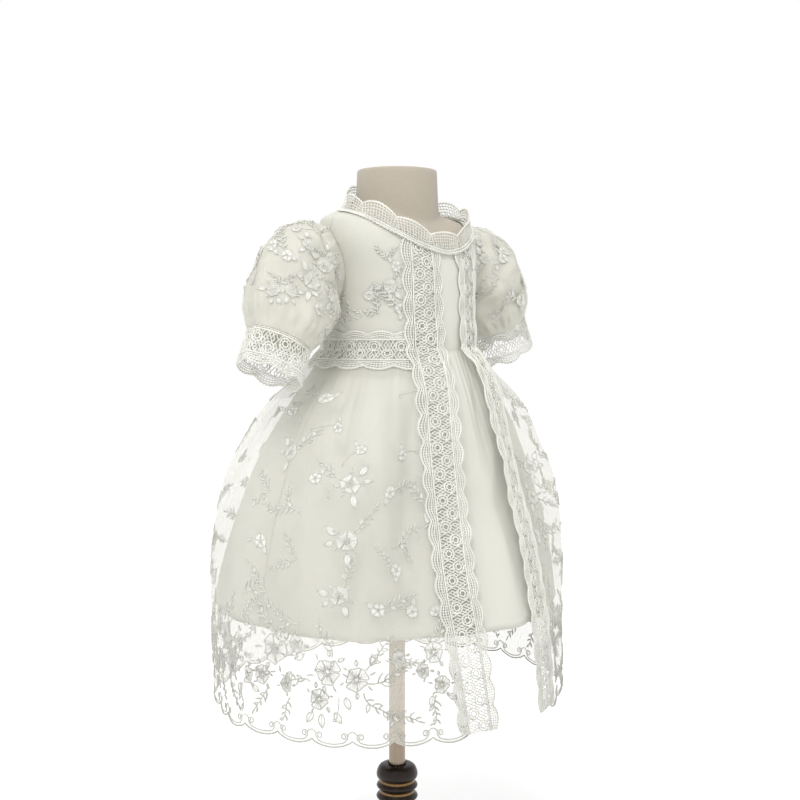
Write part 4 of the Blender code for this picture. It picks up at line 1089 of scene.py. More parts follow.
def placed(motif, x, y, angle=0.0, size=1.0, flip=False):
    """A motif, mirrored, sized, turned by degrees and moved."""
    c, s = math.cos(math.radians(angle)) * size, math.sin(math.radians(angle)) * size

    def put(points):
        px = -points[:, 0] if flip else points[:, 0]
        return np.stack([x + px * c - points[:, 1] * s, y + px * s + points[:, 1] * c], 1)

    return Motif([(put(p), w, closed) for p, w, closed in motif.threads], [put(p) for p in motif.fills])


def mirrored(wide, y):
    """A closed outline about the y axis from its right side."""
    return np.vstack([np.stack([wide, y], 1), np.stack([-wide[::-1], y[::-1]], 1)[1:-1]])


def petal_outline(start, end, half_width, notch, number):
    """A broad petal along +y, widest beyond its middle and notched at its tip."""
    t = np.linspace(0, 1, number // 2 + 1)
    y = start + (end - start) * (t + 0.10 * np.sin(np.pi * t)) - notch * bell((t - 1) / 0.12)
    return mirrored(half_width * np.sin(np.pi * t**1.6) ** 0.62, y)


def flower(radius, petals=5, double=True):
    """A flower head: outlined, filled petals of uneven size, with stitches that spread from its heart."""
    threads, fills = [], []
    heart, broad = radius * 0.16, radius * (0.50 if petals == 5 else 0.43)
    for k in range(petals):
        reach = radius * (1.0, 0.88, 1.06, 0.92, 1.02, 0.86)[k]
        outline = petal_outline(heart * 0.8, reach, broad, radius * 0.13, 16 if double else 12)
        petal = Motif([(outline, 0.62 if double else 0.52, True)], [outline])
        for x in (-0.26, 0.0, 0.26) if double else ():
            ray = [
                [0.3 * x * broad, heart * 1.5], [0.8 * x * broad, reach * 0.5], [x * broad * 1.5, reach * 0.76],
            ]
            petal.threads.append((np.array(ray), 0.30, False))
        petal = placed(petal, 0, 0, 360 * k / petals + (5, -6, 3, -4, 6, -3)[k])
        threads += petal.threads
        fills += petal.fills
    points, _, _ = circle(0, 0, heart, 8, 0)
    threads.append((points[:, :2], 0.62, True))
    return Motif(threads, fills)


def leaf(long, half_width, vein=True):
    """A pointed leaf along +y."""
    t = np.linspace(0, 1, 7)
    outline = mirrored(half_width * np.sin(np.pi * t**0.85), long * t)
    threads = [(outline, 0.52, True)]
    if vein:
        threads.append((np.array([[0, 0], [0.25, long * 0.45], [0, long * 0.88]]), 0.32, False))
    return Motif(threads, [outline])


def stroke(long, thick, bend):
    """A small leaf worked as one tapered stitch along +y."""
    t = np.linspace(0, 1, 5)
    line = np.stack([bend * np.sin(np.pi * t * 0.8), long * t], 1)
    return Motif([(line, 0.22 + (thick - 0.22) * np.sin(np.pi * (0.08 + 0.84 * t)), False)], [])


def twig(long, bend, leaves, leaf_size, seed):
    """A curved stem along +y with stitched leaves on both sides, a few outlined, and a bud at its tip."""
    random = np.random.default_rng(seed)
    t = np.linspace(0, 1, 11)
    x = bend * np.sin(np.pi * 0.5 * t) ** 2 + random.uniform(0.02, 0.07) * long * np.sin(2 * np.pi * t)
    parts = [Motif([(np.stack([x, long * t], 1), np.linspace(0.72, 0.45, 11), False)], [])]
    for k in range(leaves):
        share = 0.14 + 0.80 * (k + 0.5) / leaves
        px = np.interp(share, t, x)
        heading = math.degrees(math.atan2(np.interp(share + 0.03, t, x) - px, 0.03 * long))
        side = 1 if k % 2 else -1
        size = leaf_size * (1 - 0.35 * share) * random.uniform(0.7, 1.25)
        if k % 4 == 1:
            one = leaf(size, size * 0.2, False)
        else:
            one = stroke(size, 1.0, side * random.uniform(0.05, 0.28) * size)
        parts.append(placed(one, px, long * share, -heading - side * random.uniform(24, 58)))
    parts.append(placed(stroke(leaf_size * 0.9, 0.9, 0.0), x[-1], long, -8 * np.sign(bend)))
    return joined(*parts)


def tendril(long, bend):
    """A bare stem whose end curls."""
    t = np.linspace(0, 1, 9)
    stem = np.stack([bend * t**1.5, long * t], 1)
    angle = np.linspace(0, 1.6 * np.pi, 8)
    reach = long * 0.09 * (1 - 0.5 * angle / angle[-1])
    inwards = math.copysign(1, bend) * (reach[0] - reach * np.cos(angle))
    curl = stem[-1] + np.stack([inwards, reach * np.sin(angle)], 1)
    return Motif([(np.vstack([stem, curl[1:]]), 0.44, False)], [])


def cluster(seed, size, strokes):
    """A bloom ringed by small stitched leaves."""
    random = np.random.default_rng(seed)
    parts = [placed(flower(size, 6 if size > 11 else 5), 0, 0, random.uniform(0, 60))]
    for k in range(strokes):
        angle = 360 * (k + random.uniform(-0.25, 0.25)) / strokes
        x, y = -math.sin(math.radians(angle)) * size * 1.06, math.cos(math.radians(angle)) * size * 1.06
        one = stroke(size * random.uniform(0.35, 0.6), 1.0, 0.8) if k % 3 else leaf(size * 0.55, size * 0.14)
        parts.append(placed(one, x, y, angle + random.uniform(-25, 25)))
    return joined(*parts)


def spray(kind, seed):
    """One of the sprays that are scattered over the net."""
    if kind == 0:  # a twig with a small flower at its foot
        parts = (
            twig(34, 9, 9, 8.5, seed), placed(flower(7.5, 5, False), -1, -3, 12),
            placed(leaf(9, 2.2), -5, -6, 110),
        )
    elif kind == 1:  # two twigs that part
        parts = placed(twig(30, 8, 8, 7.5, seed), 0, 0, -14), placed(twig(24, -7, 7, 7.0, seed + 1), 0, 2, 34)
    elif kind == 2:  # a flower between leaves
        parts = (
            cluster(seed, 8.5, 4), placed(leaf(11, 2.6), 8, -5, -115), placed(leaf(11, 2.6), -8, -4, 118),
            placed(twig(22, 5, 7, 6.5, seed), 2, 9, -12), placed(leaf(8, 1.9), 4, -9, -170),
        )
    elif kind == 3:  # a long branch
        parts = twig(46, -12, 12, 8.0, seed), placed(twig(20, 5, 6, 6.0, seed + 2), -2, 14, -46)
    else:  # a small flower beside a curl
        parts = (
            placed(flower(6.0, 5, False), 0, 0, 20), placed(tendril(18, 6), 2, 4, -40),
            placed(leaf(7, 1.8), -3, 4, 40),
        )
    return joined(*parts)


def bunch(seed, blooms, leaves, twigs, tendrils=()):
    """Blooms, leaves, twigs and tendrils: rows of their sizes and then their places. y = 0 is at the hem."""
    return joined(
        *(placed(cluster(seed + k, *row[:2]), *row[2:]) for k, row in enumerate(blooms)),
        *(placed(leaf(*row[:2]), *row[2:]) for row in leaves),
        *(placed(twig(*row[:4], seed + k), *row[4:]) for k, row in enumerate(twigs)),
        *(placed(tendril(*row[:2]), *row[2:]) for row in tendrils),
    )


# Above the hem: blooms in a row, leaves, and branches that run on
HEM_BUNCH = (
    ((14.5, 7, -52, 76), (9.0, 5, -68, 50), (8.0, 4, -28, 84), (12.5, 7, 2, 62), (11.0, 6, 28, 56),
     (9.5, 5, -6, 37), (7.0, 4, 66, 72), (6.5, 4, -40, 45)),
    ((13, 3.2, -34, 58, 150), (13, 3.2, -30, 70, -60), (12, 3.0, -12, 25, 150), (13, 3.0, -4, 24, 184),
     (12, 3.0, 8, 26, 215), (12, 3.0, 18, 40, 200), (12, 3.2, 40, 68, -30)),
    ((34, 9, 9, 8.5, 36, 64, -24), (50, -10, 13, 9.0, 38, 52, -84), (40, -8, 10, 8.5, 34, 44, -148),
     (34, 8, 9, 8.0, 52, 27, -96), (32, -9, 9, 8.0, -52, 90, 24), (28, 7, 7, 7.5, -60, 40, 158),
     (30, -7, 7, 8.0, 6, 75, 8), (24, 6, 6, 7.0, -36, 34, 172), (24, -6, 6, 7.0, -14, 52, 74)),
    ((20, 6, 12, 40, -170),),
)
# Between two large bunches
SMALL_BUNCH = (
    ((9.5, 5, 0, 76), (8.0, 5, 7, 47), (6.5, 4, -10, 60)),
    ((11, 2.8, -1, 38, 170), (10, 2.6, 13, 38, -120)),
    ((26, 6, 8, 7.5, 2, 86, -10), (26, -7, 8, 7.5, 2, 38, 160), (22, 6, 6, 7.0, 14, 52, -70),
     (22, -6, 6, 7.0, -14, 66, 64)),
)


def hem_curl():
    """The curl at the left end of a scallop's inner cord, from its inside out. The cusp is at 0, 0."""
    angle = np.radians(np.linspace(-265, 205, 19))
    reach = np.linspace(1.1, 3.4, 19)
    return np.stack([7.2 + reach * np.cos(angle), 4.6 + reach * np.sin(angle)], 1)


def between(grid, row, at):
    """A grid's values between its rows and its columns."""
    r, c = np.clip(row.astype(int), 0, grid.shape[0] - 2), np.clip(at.astype(int), 0, grid.shape[1] - 2)
    u, v = (part.reshape(part.shape + (1,) * (grid.ndim - 2)) for part in (at - c, row - r))
    upper = grid[r, c] * (1 - u) + grid[r, c + 1] * u
    lower = grid[r + 1, c] * (1 - u) + grid[r + 1, c + 1] * u
    return upper * (1 - v) + lower * v


class SurfaceTable:
    """A surface and its normals on a fine grid, from which many points can be read quickly."""

    def __init__(self, surface, low, high, rows, columns=720):
        self.low, self.high, self.rows, self.columns = low, high, rows, columns
        turns, levels = np.linspace(0, 360, columns + 1)[None, :], np.linspace(low, high, rows + 1)[:, None]
        self.points = surface(turns, levels)
        self.ups = normals(surface, turns + 0 * levels, levels + 0 * turns)

    def read(self, grid, turn, level):
        down = np.clip((level - self.low) / (self.high - self.low), 0, 1) * self.rows
        return between(grid, down, np.mod(turn, 360.0) / 360.0 * self.columns)

    def spread(self, flat, turn, level):
        """The turn and level of flat points laid round a place, x along the turn and y along the level."""
        rows = np.linspace(self.low, self.high, self.rows + 1)
        run = running(self.read(self.points, turn + 0 * rows, rows))
        levels = np.interp(np.interp(level, rows, run) + flat[:, 1], run, rows)
        ahead, behind = (self.read(self.points, turn + step + 0 * levels, levels) for step in (2.0, -2.0))
        return turn + flat[:, 0] * 4.0 / np.maximum(np.linalg.norm(ahead - behind, axis=1), 0.5), levels

    def point(self, turn, level, lift):
        return self.read(self.points, turn, level) + self.read(self.ups, turn, level) * lift


THREAD_LIFT, FILL_LIFT, MIDDLE_LIFT = 0.35, 0.18, 0.42  # off the net, in millimetres


class Embroidery:
    """Collects motifs on one surface, and makes one piece of their threads and one of their fillings."""

    def __init__(self, surface_table):
        self.table = surface_table
        self.lines, self.fills, self.uvs = [], [], []

    def add(self, motif, turn, level, keep):
        """Adds the motif's threads and fillings whose points all pass keep."""
        threads, fills = len(motif.threads), len(motif.fills)
        parts = [line for line, _, _ in motif.threads] + motif.fills
        parts += [fill.mean(0)[None] for fill in motif.fills]
        sizes = [len(part) for part in parts]
        starts = np.concatenate([[0], np.cumsum(sizes)[:-1]])
        lifts = np.repeat([THREAD_LIFT] * threads + [FILL_LIFT] * fills + [MIDDLE_LIFT] * fills, sizes)
        turns, levels = self.table.spread(np.vstack(parts), turn, level)
        points = self.table.point(turns, levels, lifts[:, None])
        good = np.logical_and.reduceat(keep(points), starts)
        places = np.split(points, starts[1:])
        for k, (_, width, closed) in enumerate(motif.threads):
            if good[k]:
                self.lines.append((places[k], width, closed))
        for k, flat in enumerate(motif.fills):
            if good[threads + k]:
                self.fills.append((places[threads + k], places[threads + fills + k][0]))
                axis = flat - flat.mean(0)
                long_way = axis[np.argmax((axis**2).sum(1))]
                long_way = long_way / max(np.linalg.norm(long_way), 1e-6)
                across = axis @ np.array([-long_way[1], long_way[0]])
                self.uvs.append(np.stack([axis @ long_way, across], 1) * MM)

    def make(self, name):
        """The threads as cords in one piece, and the fillings as low domes in another."""
        facets = bpy.context.scene.gown_sizes.thread_facets
        base = edge_object(name + "_lines", self.lines)
        threads = through_nodes(name, base, cord_tree(), facets=facets, material=finish("stitch"))
        finish_piece(threads, "organza")
        if not self.fills:
            return
        points, faces, uvs, first = [], [], [], 0
        for (outline, middle), uv in zip(self.fills, self.uvs):
            number = len(outline)
            points += [outline, middle[None]]
            for k in range(number):
                after = (k + 1) % number
                faces.append((first + k, first + after, first + number))
                uvs += [uv[k], uv[after], (0.0, 0.0)]
            first += number + 1
        mesh = bpy.data.meshes.new(name + "_filling")
        mesh.from_pydata((np.vstack(points) * MM).tolist(), [], faces)
        mesh.uv_layers.new(name="cloth").data.foreach_set("uv", np.array(uvs, np.float32).ravel())
        mesh.materials.append(finish("filling"))
        mesh.shade_smooth()
        finish_piece(link_object(name + "_filling", mesh), "organza")


# ---------------------------------------------------------------- operators
class GOWN_OT_form(bpy.types.Operator):
    """Make the linen-covered form"""

    bl_idname = "gown.form"
    bl_label = "Dress form"

    def execute(self, context):
        turns = np.linspace(0, 360, 120, endpoint=False)
        parts = (np.linspace(-1.0, 0.0, 24)[:-1], np.linspace(0.0, 1.0, 40)[:-1], np.linspace(1.0, 1.3, 16))
        body = form_point(turns[None, :], np.concatenate(parts)[:, None])

        def ring(edge, share, rise):
            return edge * (share, share, 1.0) + (0.0, 0.0, rise)

        under = [ring(body[0], share, 0.0) for share in (0.2, 0.6, 0.93)]
        rim = [ring(body[-1], share, rise) for share, rise in (
            (0.985, 1.0), (0.955, 1.7), (0.90, 2.1), (0.78, 2.3), (0.5, 2.3), (0.2, 2.3))]
        points = np.concatenate([np.array(under), body, np.array(rim)])
        around = np.radians(turns)[None, :] * 0.080 + 0 * points[..., 0]
        uv = np.stack([around, points[..., 2] * MM], -1)
        made = grid_object("dress_form_linen", points, finish("linen"), closed=True, uv=uv, caps=True)
        face_outwards(made, lambda p: Vector((0, 0, 0.6)))
        finish_piece(made, "form_cloth", "dress_form")
        return {"FINISHED"}


def smooth_profile(rows, steps=5):
    """A profile with its corners eased by a close curve through its points."""
    points = np.array(rows, float)
    fine = [points[0]]
    for k in range(len(points) - 1):
        p0, p1, p2, p3 = (points[min(max(k + j, 0), len(points) - 1)] for j in (-1, 0, 1, 2))
        for t in np.linspace(0, 1, steps + 1)[1:]:
            square, cube = 2 * p0 - 5 * p1 + 4 * p2 - p3, 3 * p1 - p0 - 3 * p2 + p3
            fine.append(0.5 * (2 * p1 + (p2 - p0) * t + square * t**2 + cube * t**3))
    return np.array(fine)


def turned(name, profile, material_name, segments, centre_of):
    """A turned solid from a profile of radius and height."""
    angle = np.linspace(0, 2 * np.pi, segments, endpoint=False)
    radius, height = profile[:, :1], profile[:, 1:]
    points = np.stack([radius * np.sin(angle), -radius * np.cos(angle), height + 0 * angle], -1)
    run = running(profile)[:, None] * MM
    uv = np.stack([angle * 0.02 + 0 * run, run + 0 * angle], -1)
    made = grid_object(name, points, finish(material_name), closed=True, uv=uv, caps=True)
    face_outwards(made, centre_of)
    return made


class GOWN_OT_stand(bpy.types.Operator):
    """Make the pole and the turned wooden base"""

    bl_idname = "gown.stand"
    bl_label = "Stand"

    def execute(self, context):
        top = BODY_RINGS[0].front_z - SEAM
        pole = np.array([(POLE_RADIUS, z) for z in (top, top - 60, top - 130, 250, 200, 150, POLE_FOOT_Z)])
        finish_piece(turned("pole_tube", pole, "metal", 64, axis_point), "pole_metal", "pole")

        def inside_neck(p):
            """A point under the neck's face: nearer the pole for its outside, and further out for its bore."""
            return p * 0.93 if p.xy.length > (POLE_RADIUS + 0.4) * MM else Vector((p.x * 3, p.y * 3, p.z))

        bore = [(POLE_RADIUS + SEAM, POLE_FOOT_Z - SEAM), (POLE_RADIUS + SEAM, 152.0)]
        neck = np.vstack([bore, smooth_profile(TURNED_NECK)])
        finish_piece(turned("turned_neck_wood", neck, "wood", 96, inside_neck), "dark_wood", "turned_neck")
        seat = [(1.0, NECK_FOOT_Z - SEAM), (30.0, NECK_FOOT_Z - SEAM)]
        disc = np.vstack([seat, smooth_profile(BASE_DISC), [(60.0, 0.0), (1.0, 0.0)]])
        base = turned("base_disc_wood", disc, "wood", 128, lambda p: Vector((0, 0, 0.012)))
        finish_piece(base, "dark_wood", "base_disc")
        return {"FINISHED"}


def bodice_creases(turn, level):
    """Slight drags in the bodice's satin, away from its seams."""
    drag = 0.35 * np.sin(np.radians(turn * 4) + 5 * level) * np.sin(np.pi * np.clip(level, 0, 1))
    for place, half_turn, at, half_level in ((78, 9, 0.35, 0.15), (-74, 8, 0.28, 0.12)):
        drag = drag + 0.5 * bell(away(turn, place) / half_turn) * bell((level - at) / half_level)
    return drag


def cut_armholes(piece):
    """Removes what lies inside the armholes, whose edges the sleeves cover."""
    mesh = bmesh.new()
    mesh.from_mesh(piece.data)
    faces = list(mesh.faces)
    centres = np.array([face.calc_center_median() for face in faces]) / MM
    gone = [face for face, inside in zip(faces, in_armhole(centres, 1)) if inside]
    bmesh.ops.delete(mesh, geom=gone, context="FACES")
    mesh.to_mesh(piece.data)
    mesh.free()


class GOWN_OT_bodice(bpy.types.Operator):
    """Make the satin bodice and its net"""

    bl_idname = "gown.bodice"
    bl_label = "Bodice"

    def execute(self, context):
        levels = np.concatenate([np.linspace(-0.03, 0.78, 38)[:-1], np.linspace(0.78, 1.0, 22)])[:, None]
        for name, first, last, number, replaced in (
            ("bodice_front_satin", -90.0, 90.0, 90, "bodice_front"),
            ("bodice_back_left_satin", 90.0, 180.0, 46, "bodice_back_left"),
            ("bodice_back_right_satin", 180.0, 270.0, 46, "bodice_back_right"),
            ("bodice_net_right", -90.0, -27.0, 40, None),
            ("bodice_net_left", 27.0, 90.0, 40, None),
            ("bodice_net_back_left", 90.0, 179.9, 46, None),
            ("bodice_net_back_right", 180.1, 270.0, 46, None),
        ):
            turns = np.linspace(first + 0.12, last - 0.12, number)
            rows = levels + np.maximum(levels - 0.5, 0) * 2 * (levels_below_neckline(turns, np.zeros(1)) - 1)
            lift = BODICE_OFF_FORM + SATIN_OFF + (0 if replaced else NET_OFF) + bodice_creases(turns, rows)
            points = raised(form_point, turns[None, :], rows, lift)
            made = cloth_piece(name, points, replaced, armholes=True)
            cut_sheet(made, points, "stretched", "dress_form_linen")
        return {"FINISHED"}


class GOWN_OT_underskirt(bpy.types.Operator):
    """Make the satin underskirt"""

    bl_idname = "gown.underskirt"
    bl_label = "Underskirt"

    def execute(self, context):
        levels = np.concatenate([np.linspace(0, -0.2, 20)[:-1], np.linspace(-0.2, -1.0, 34)])[:, None]
        hem = 0.25 * ease((-0.955 - levels) / 0.01)  # the turned-up hem is double
        for name, first, last, number, replaced in (
            ("underskirt_front_satin", -SIDE_SEAM_TURN, SIDE_SEAM_TURN, 230, "underskirt_front"),
            ("underskirt_back_satin", SIDE_SEAM_TURN, 360 - SIDE_SEAM_TURN, 200, "underskirt_back"),
        ):
            turns = np.linspace(first + 0.05, last - 0.05, number)[None, :]
            points = raised(underskirt_point, turns, levels, 0.5 * CLOTH + hem + 0 * turns)
            made = cloth_piece(name, points, replaced)
            cut_sheet(made, points, "gathered", "bodice_front_satin")
        return {"FINISHED"}


def hem_curve(turn, first, last, scallops):
    """The height of the scalloped hem's edge."""
    share = (turn - first) / (last - first) * scallops
    return OVERSKIRT_RINGS[0].z - HEM_SCALLOP_DEPTH * np.abs(np.sin(np.pi * share)) ** HEM_ROUNDNESS


def seam_edge(turn):
    """A panel's edge along a seam: its turn at each level."""
    return lambda level: turn + 0 * level


def trimmed_edge(side):
    """A panel's edge under the outer line of its trim's band: its turn at each level."""

    def turn_at(level):
        middle = trim_turn(side, level)
        return middle + SIDES[side] * BAND_HALF * degrees_per_mm(garment_point, middle, level)

    return turn_at


OVERSKIRT_PANELS = (
    ("overskirt_front_right", seam_edge(-SIDE_SEAM_TURN), trimmed_edge("right"), FRONT_SCALLOPS),
    ("overskirt_back", seam_edge(SIDE_SEAM_TURN), seam_edge(360 - SIDE_SEAM_TURN), BACK_SCALLOPS),
    ("overskirt_front_left", trimmed_edge("left"), seam_edge(SIDE_SEAM_TURN), FRONT_SCALLOPS),
)


class GOWN_OT_overskirt(bpy.types.Operator):
    """Make the sheer overskirt and the cords along its hem"""

    bl_idname = "gown.overskirt"
    bl_label = "Overskirt"

    def execute(self, context):
        levels = np.linspace(-0.2, level_of_height(HEM_BLEND_Z), 50)
        levels = np.concatenate([np.linspace(0, -0.2, 20)[:-1], levels])[:, None]
        for name, first, last, scallops in OVERSKIRT_PANELS:
            share = np.linspace(0, 1, scallops * 12 + 1)
            low, high = first(levels), last(levels)
            points = net_point(low + (high - low) * share, levels + 0 * share)
            ends = float(first(np.array([-1.0]))[0]), float(last(np.array([-1.0]))[0])
            hem_turns = ends[0] + (ends[1] - ends[0]) * share
            hem = net_point(hem_turns, -1.0)
            hem[:, 2] = hem_curve(hem_turns, *ends, scallops)
            rows = [points[-1] + (hem - points[-1]) * t for t in np.linspace(0, 1, 6)[1:]]
            points = np.concatenate([points, np.array(rows)])
            made = cloth_piece(name + "_net", points, name)
            self.hem_cords(name + "_hem_cords", ends, scallops)
            cut_sheet(made, points, "gathered", "underskirt_front_satin", "underskirt_back_satin")
        return {"FINISHED"}

    def hem_cords(self, name, ends, scallops):
        """A cord along the scallops, one inside it whose ends curl, and a small arch over each cusp."""
        embroidery = Embroidery(None)
        rim = raised(overskirt_point, np.linspace(*ends, 300), -1.0, 0.5 * CLOTH)
        span = running(rim)[-1]
        wide = span / scallops

        def add(x, y, width, from_edge=False):
            turn = ends[0] + (ends[1] - ends[0]) * x / span
            inside = (turn >= ends[0]) & (turn <= ends[1])
            if inside.sum() > 2:
                line = raised(overskirt_point, turn[inside], -1.0, 0.5 * CLOTH + 0.3)
                edge = hem_curve(turn, *ends, scallops) if from_edge else OVERSKIRT_RINGS[0].z
                line[:, 2] = (edge + y)[inside]
                embroidery.lines.append((line, width, False))

        add(np.linspace(0, span, scallops * 14 + 1), 0.5, 0.85, True)
        curl = hem_curl()
        along = np.linspace(0, 1, 11)
        corner = np.maximum(1 - np.minimum(along, 1 - along) / 0.12, 0) ** 2
        cusp = HEM_SCALLOP_DEPTH * np.abs(np.sin(np.pi * 4.1 / wide)) ** HEM_ROUNDNESS
        for k in range(scallops):
            add(k * wide + curl[:, 0], curl[:, 1], 0.55)
            add((k + 1) * wide - curl[:, 0], curl[:, 1], 0.55)
            add(k * wide + 4.1 + (wide - 8.2) * along, 3.4 + (cusp - 0.3) * corner, 0.55, True)
        arch = np.linspace(-1, 1, 9)
        for k in range(scallops + 1):
            add(k * wide + 4.3 * arch, 9.0 - 3.0 * arch**2, 0.50)
        embroidery.make(name)


# Sprays on the right front: turn, height, kind, angle and size
SEEN_SPRAYS = (
    (-79, 530, 0, 60, 1.0), (-100, 489, 1, 100, 1.0), (-84, 482, 2, -70, 1.0), (-106, 458, 0, 80, 1.0),
    (-88, 448, 1, 95, 0.9), (-60, 458, 2, 80, 1.1), (-47, 450, 0, -95, 0.9), (-75, 432, 3, 70, 0.9),
    (-105, 413, 2, 40, 1.0), (-90, 404, 0, 100, 1.0), (-60, 410, 2, -60, 1.15), (-47, 402, 3, -85, 0.9),
    (-75, 392, 1, 80, 0.9), (-46, 384, 0, 60, 0.8), (-62, 362, 2, -40, 1.0), (-86, 358, 1, 70, 1.0),
    (-74, 336, 3, 90, 0.9), (-50, 350, 0, -60, 0.9), (-40, 345, 4, 30, 1.0), (-99, 350, 0, -50, 1.0),
    (-68, 505, 4, 40, 1.0), (-92, 517, 4, -60, 1.0), (-58, 487, 4, 80, 0.9), (-43, 480, 4, -30, 0.9),
    (-98, 375, 4, 30, 1.0), (-72, 462, 4, -80, 1.0),
)
# Rows of sprays all round: height, and the degrees from one spray to the next
SPRAY_ROWS = ((352, 16), (388, 17), (424, 17), (460, 19), (496, 21), (530, 26))


class GOWN_OT_skirt_embroidery(bpy.types.Operator):
    """Embroider the overskirt: bunches above the hem and sprays further up"""

    bl_idname = "gown.skirt_embroidery"
    bl_label = "Skirt embroidery"

    def execute(self, context):
        seed = context.scene.gown_sizes.seed
        random = np.random.default_rng(seed)
        regions = {
            "skirt_embroidery_right": (-SIDE_SEAM_TURN, 0.0),
            "skirt_embroidery_left": (0.0, SIDE_SEAM_TURN),
            "skirt_embroidery_back_left": (SIDE_SEAM_TURN, 180.0),
            "skirt_embroidery_back_right": (180.0, 360 - SIDE_SEAM_TURN),
        }
        surface_table = SurfaceTable(net_point, -1.0, 0.0, 200)
        works = {name: Embroidery(surface_table) for name in regions}
        heights = np.linspace(WAIST_Z, OVERSKIRT_RINGS[0].z, 200)
        levels_down = level_of_height(heights)

        def add(motif, turn, level, name):
            """Adds what lies in the region and clear of the trims. A motif may cross a seam."""

            def keep(points):
                around, height = turn_of(points), points[:, 2]
                side = (around + SIDE_SEAM_TURN) % 360 - SIDE_SEAM_TURN
                at = np.interp(-height, -heights, levels_down)
                gap = np.degrees(12 / np.hypot(points[:, 0], points[:, 1]))
                trimmed = (around > trim_turn("right", at) - gap) & (around < trim_turn("left", at) + gap)
                in_region = (side >= regions[name][0]) & (side < regions[name][1])
                return in_region & ~trimmed & (height > 238) & (height < 566)

            works[name].add(motif, turn, level, keep)

        for k, (turn, flip) in enumerate(((-66, False), (66, True), (122, False), (180, False), (238, True))):
            large = placed(bunch(seed + 10 * k, *HEM_BUNCH), 0, 0, 0, 1.0, flip)
            for name in regions:
                add(large, turn, -1.0, name)
        for k, turn in enumerate((-33, 34, 95, 152, 208, 264)):
            small = bunch(seed + 7 * k, *SMALL_BUNCH)
            for name in regions:
                add(small, turn, -1.0, name)
        sprays = list(SEEN_SPRAYS)
        for row, (z, step) in enumerate(SPRAY_ROWS):
            number = round(360 / step)
            for k in range(number):
                turn = -95 + 360 * (k + 0.5 * (row % 2)) / number + random.uniform(-4, 4)
                kind, angle = int(random.integers(0, 5)), random.choice((-1, 1)) * random.uniform(35, 115)
                sprays.append((turn, z + random.uniform(-9, 9), kind, angle, random.uniform(0.85, 1.15)))
        for k, (turn, z, kind, angle, size) in enumerate(sprays):
            if k >= len(SEEN_SPRAYS) and (turn < -36 or 208 < turn < 252 and k % 2):
                continue
            motif = placed(spray(kind, seed + k), 0, 0, angle, size, k % 2 == 0)
            for name, (first, last) in regions.items():
                if first - 20 < (turn + 115) % 360 - 115 < last + 20:
                    add(motif, turn, float(level_of_height(z)), name)
        for name, work in works.items():
            work.make(name)
        return {"FINISHED"}


def body_walls():
    """The bodice's outer face with its armholes closed, for rays."""
    turns, levels = np.linspace(0, 360, 181), np.linspace(0.0, 1.0, 80)
    points = raised(form_point, turns[None, :], levels[:, None], BODICE_FACE)
    made = grid_object("bodice_walls", points, finish("satin"))
    faces = [tuple(face.vertices) for face in made.data.polygons]
    tree = BVHTree.FromPolygons([vertex.co.copy() for vertex in made.data.vertices], faces)
    bpy.data.objects.remove(made)
    return tree


def root_point(sign, turn, walls):
    """A point of the armhole seam, on the bodice."""
    ring = SLEEVE_RINGS[0]
    y = ring.back - ring.half_depth * math.sin(math.radians(turn))
    z = ring.z + ring.half_height * math.cos(math.radians(turn))
    hit, normal, _, _ = walls.ray_cast(Vector((sign * 200, y, z)) * MM, Vector((-sign, 0, 0)))
    if hit is None:
        raise RuntimeError("the sleeve's root misses the bodice")
    return np.array((hit + normal * math.copysign(0.6 * MM, normal.x * sign)) / MM)


class GOWN_OT_sleeves(bpy.types.Operator):
    """Make the puff sleeves, their net and its embroidery"""

    bl_idname = "gown.sleeves"
    bl_label = "Sleeves"

    def execute(self, context):
        walls = body_walls()
        turns = np.linspace(0, 360, 140, endpoint=False)
        alongs = np.concatenate([np.linspace(0.06, 0.3, 14)[:-1], np.linspace(0.3, 1.0, 32)])[:, None]
        close_at_cuff = ease((1 - alongs) / 0.04 + 0.3)
        for side, sign in SIDES.items():
            root = np.array([root_point(sign, turn, walls) for turn in turns])
            for layer, out, cloth, replaced in (
                ("satin", 0.5, "thin_satin", f"sleeve_{side}"), ("net", SLEEVE_NET_OUT, None, None),
            ):
                body = sleeve_point(side, turns[None, :], alongs, out * close_at_cuff + 0 * turns)
                start = root + (body[0] - root) * 0.02
                rows = [start + (body[0] - start) * t for t in (0.0, 0.35, 0.7)]
                points = np.concatenate([np.array(rows), body])
                centre = Vector(points.reshape(-1, 3).mean(0) * MM)
                name = f"sleeve_{side}_{layer}"
                made = cloth_piece(name, points, replaced, lambda p: centre, cloth, closed=True)
                cut_sheet(made, np.concatenate([points, points[:, :1]], 1), "gathered", "bodice_front_satin")
            self.embroider(side, context.scene.gown_sizes.seed)
        return {"FINISHED"}

    def embroider(self, side, seed):
        random = np.random.default_rng(seed + (5 if side == "left" else 0))

        def surface(turn, level):
            return sleeve_point(side, -SIDES[side] * turn, 1 - level, SLEEVE_NET_OUT)

        def on_sleeve(points):
            return (np.abs(points[:, 0]) > 92) & (points[:, 2] > 585)

        work = Embroidery(SurfaceTable(surface, 0.0, 0.95, 100))
        for row, (level, number) in enumerate(((0.80, 9), (0.62, 11), (0.44, 11), (0.26, 10))):
            for k in range(number):
                turn = 360 * (k + 0.5 * (row % 2)) / number + random.uniform(-9, 9)
                kind, flip = (0, 2, 4, 2, 3)[int(random.integers(0, 5))], bool(random.integers(0, 2))
                angle = random.uniform(-80, 80)
                motif = placed(spray(kind, seed + 17 * row + k), 0, 0, angle, random.uniform(0.7, 0.95), flip)
                work.add(motif, turn, level + random.uniform(-0.04, 0.04), on_sleeve)
        work.make(f"sleeve_{side}_embroidery")


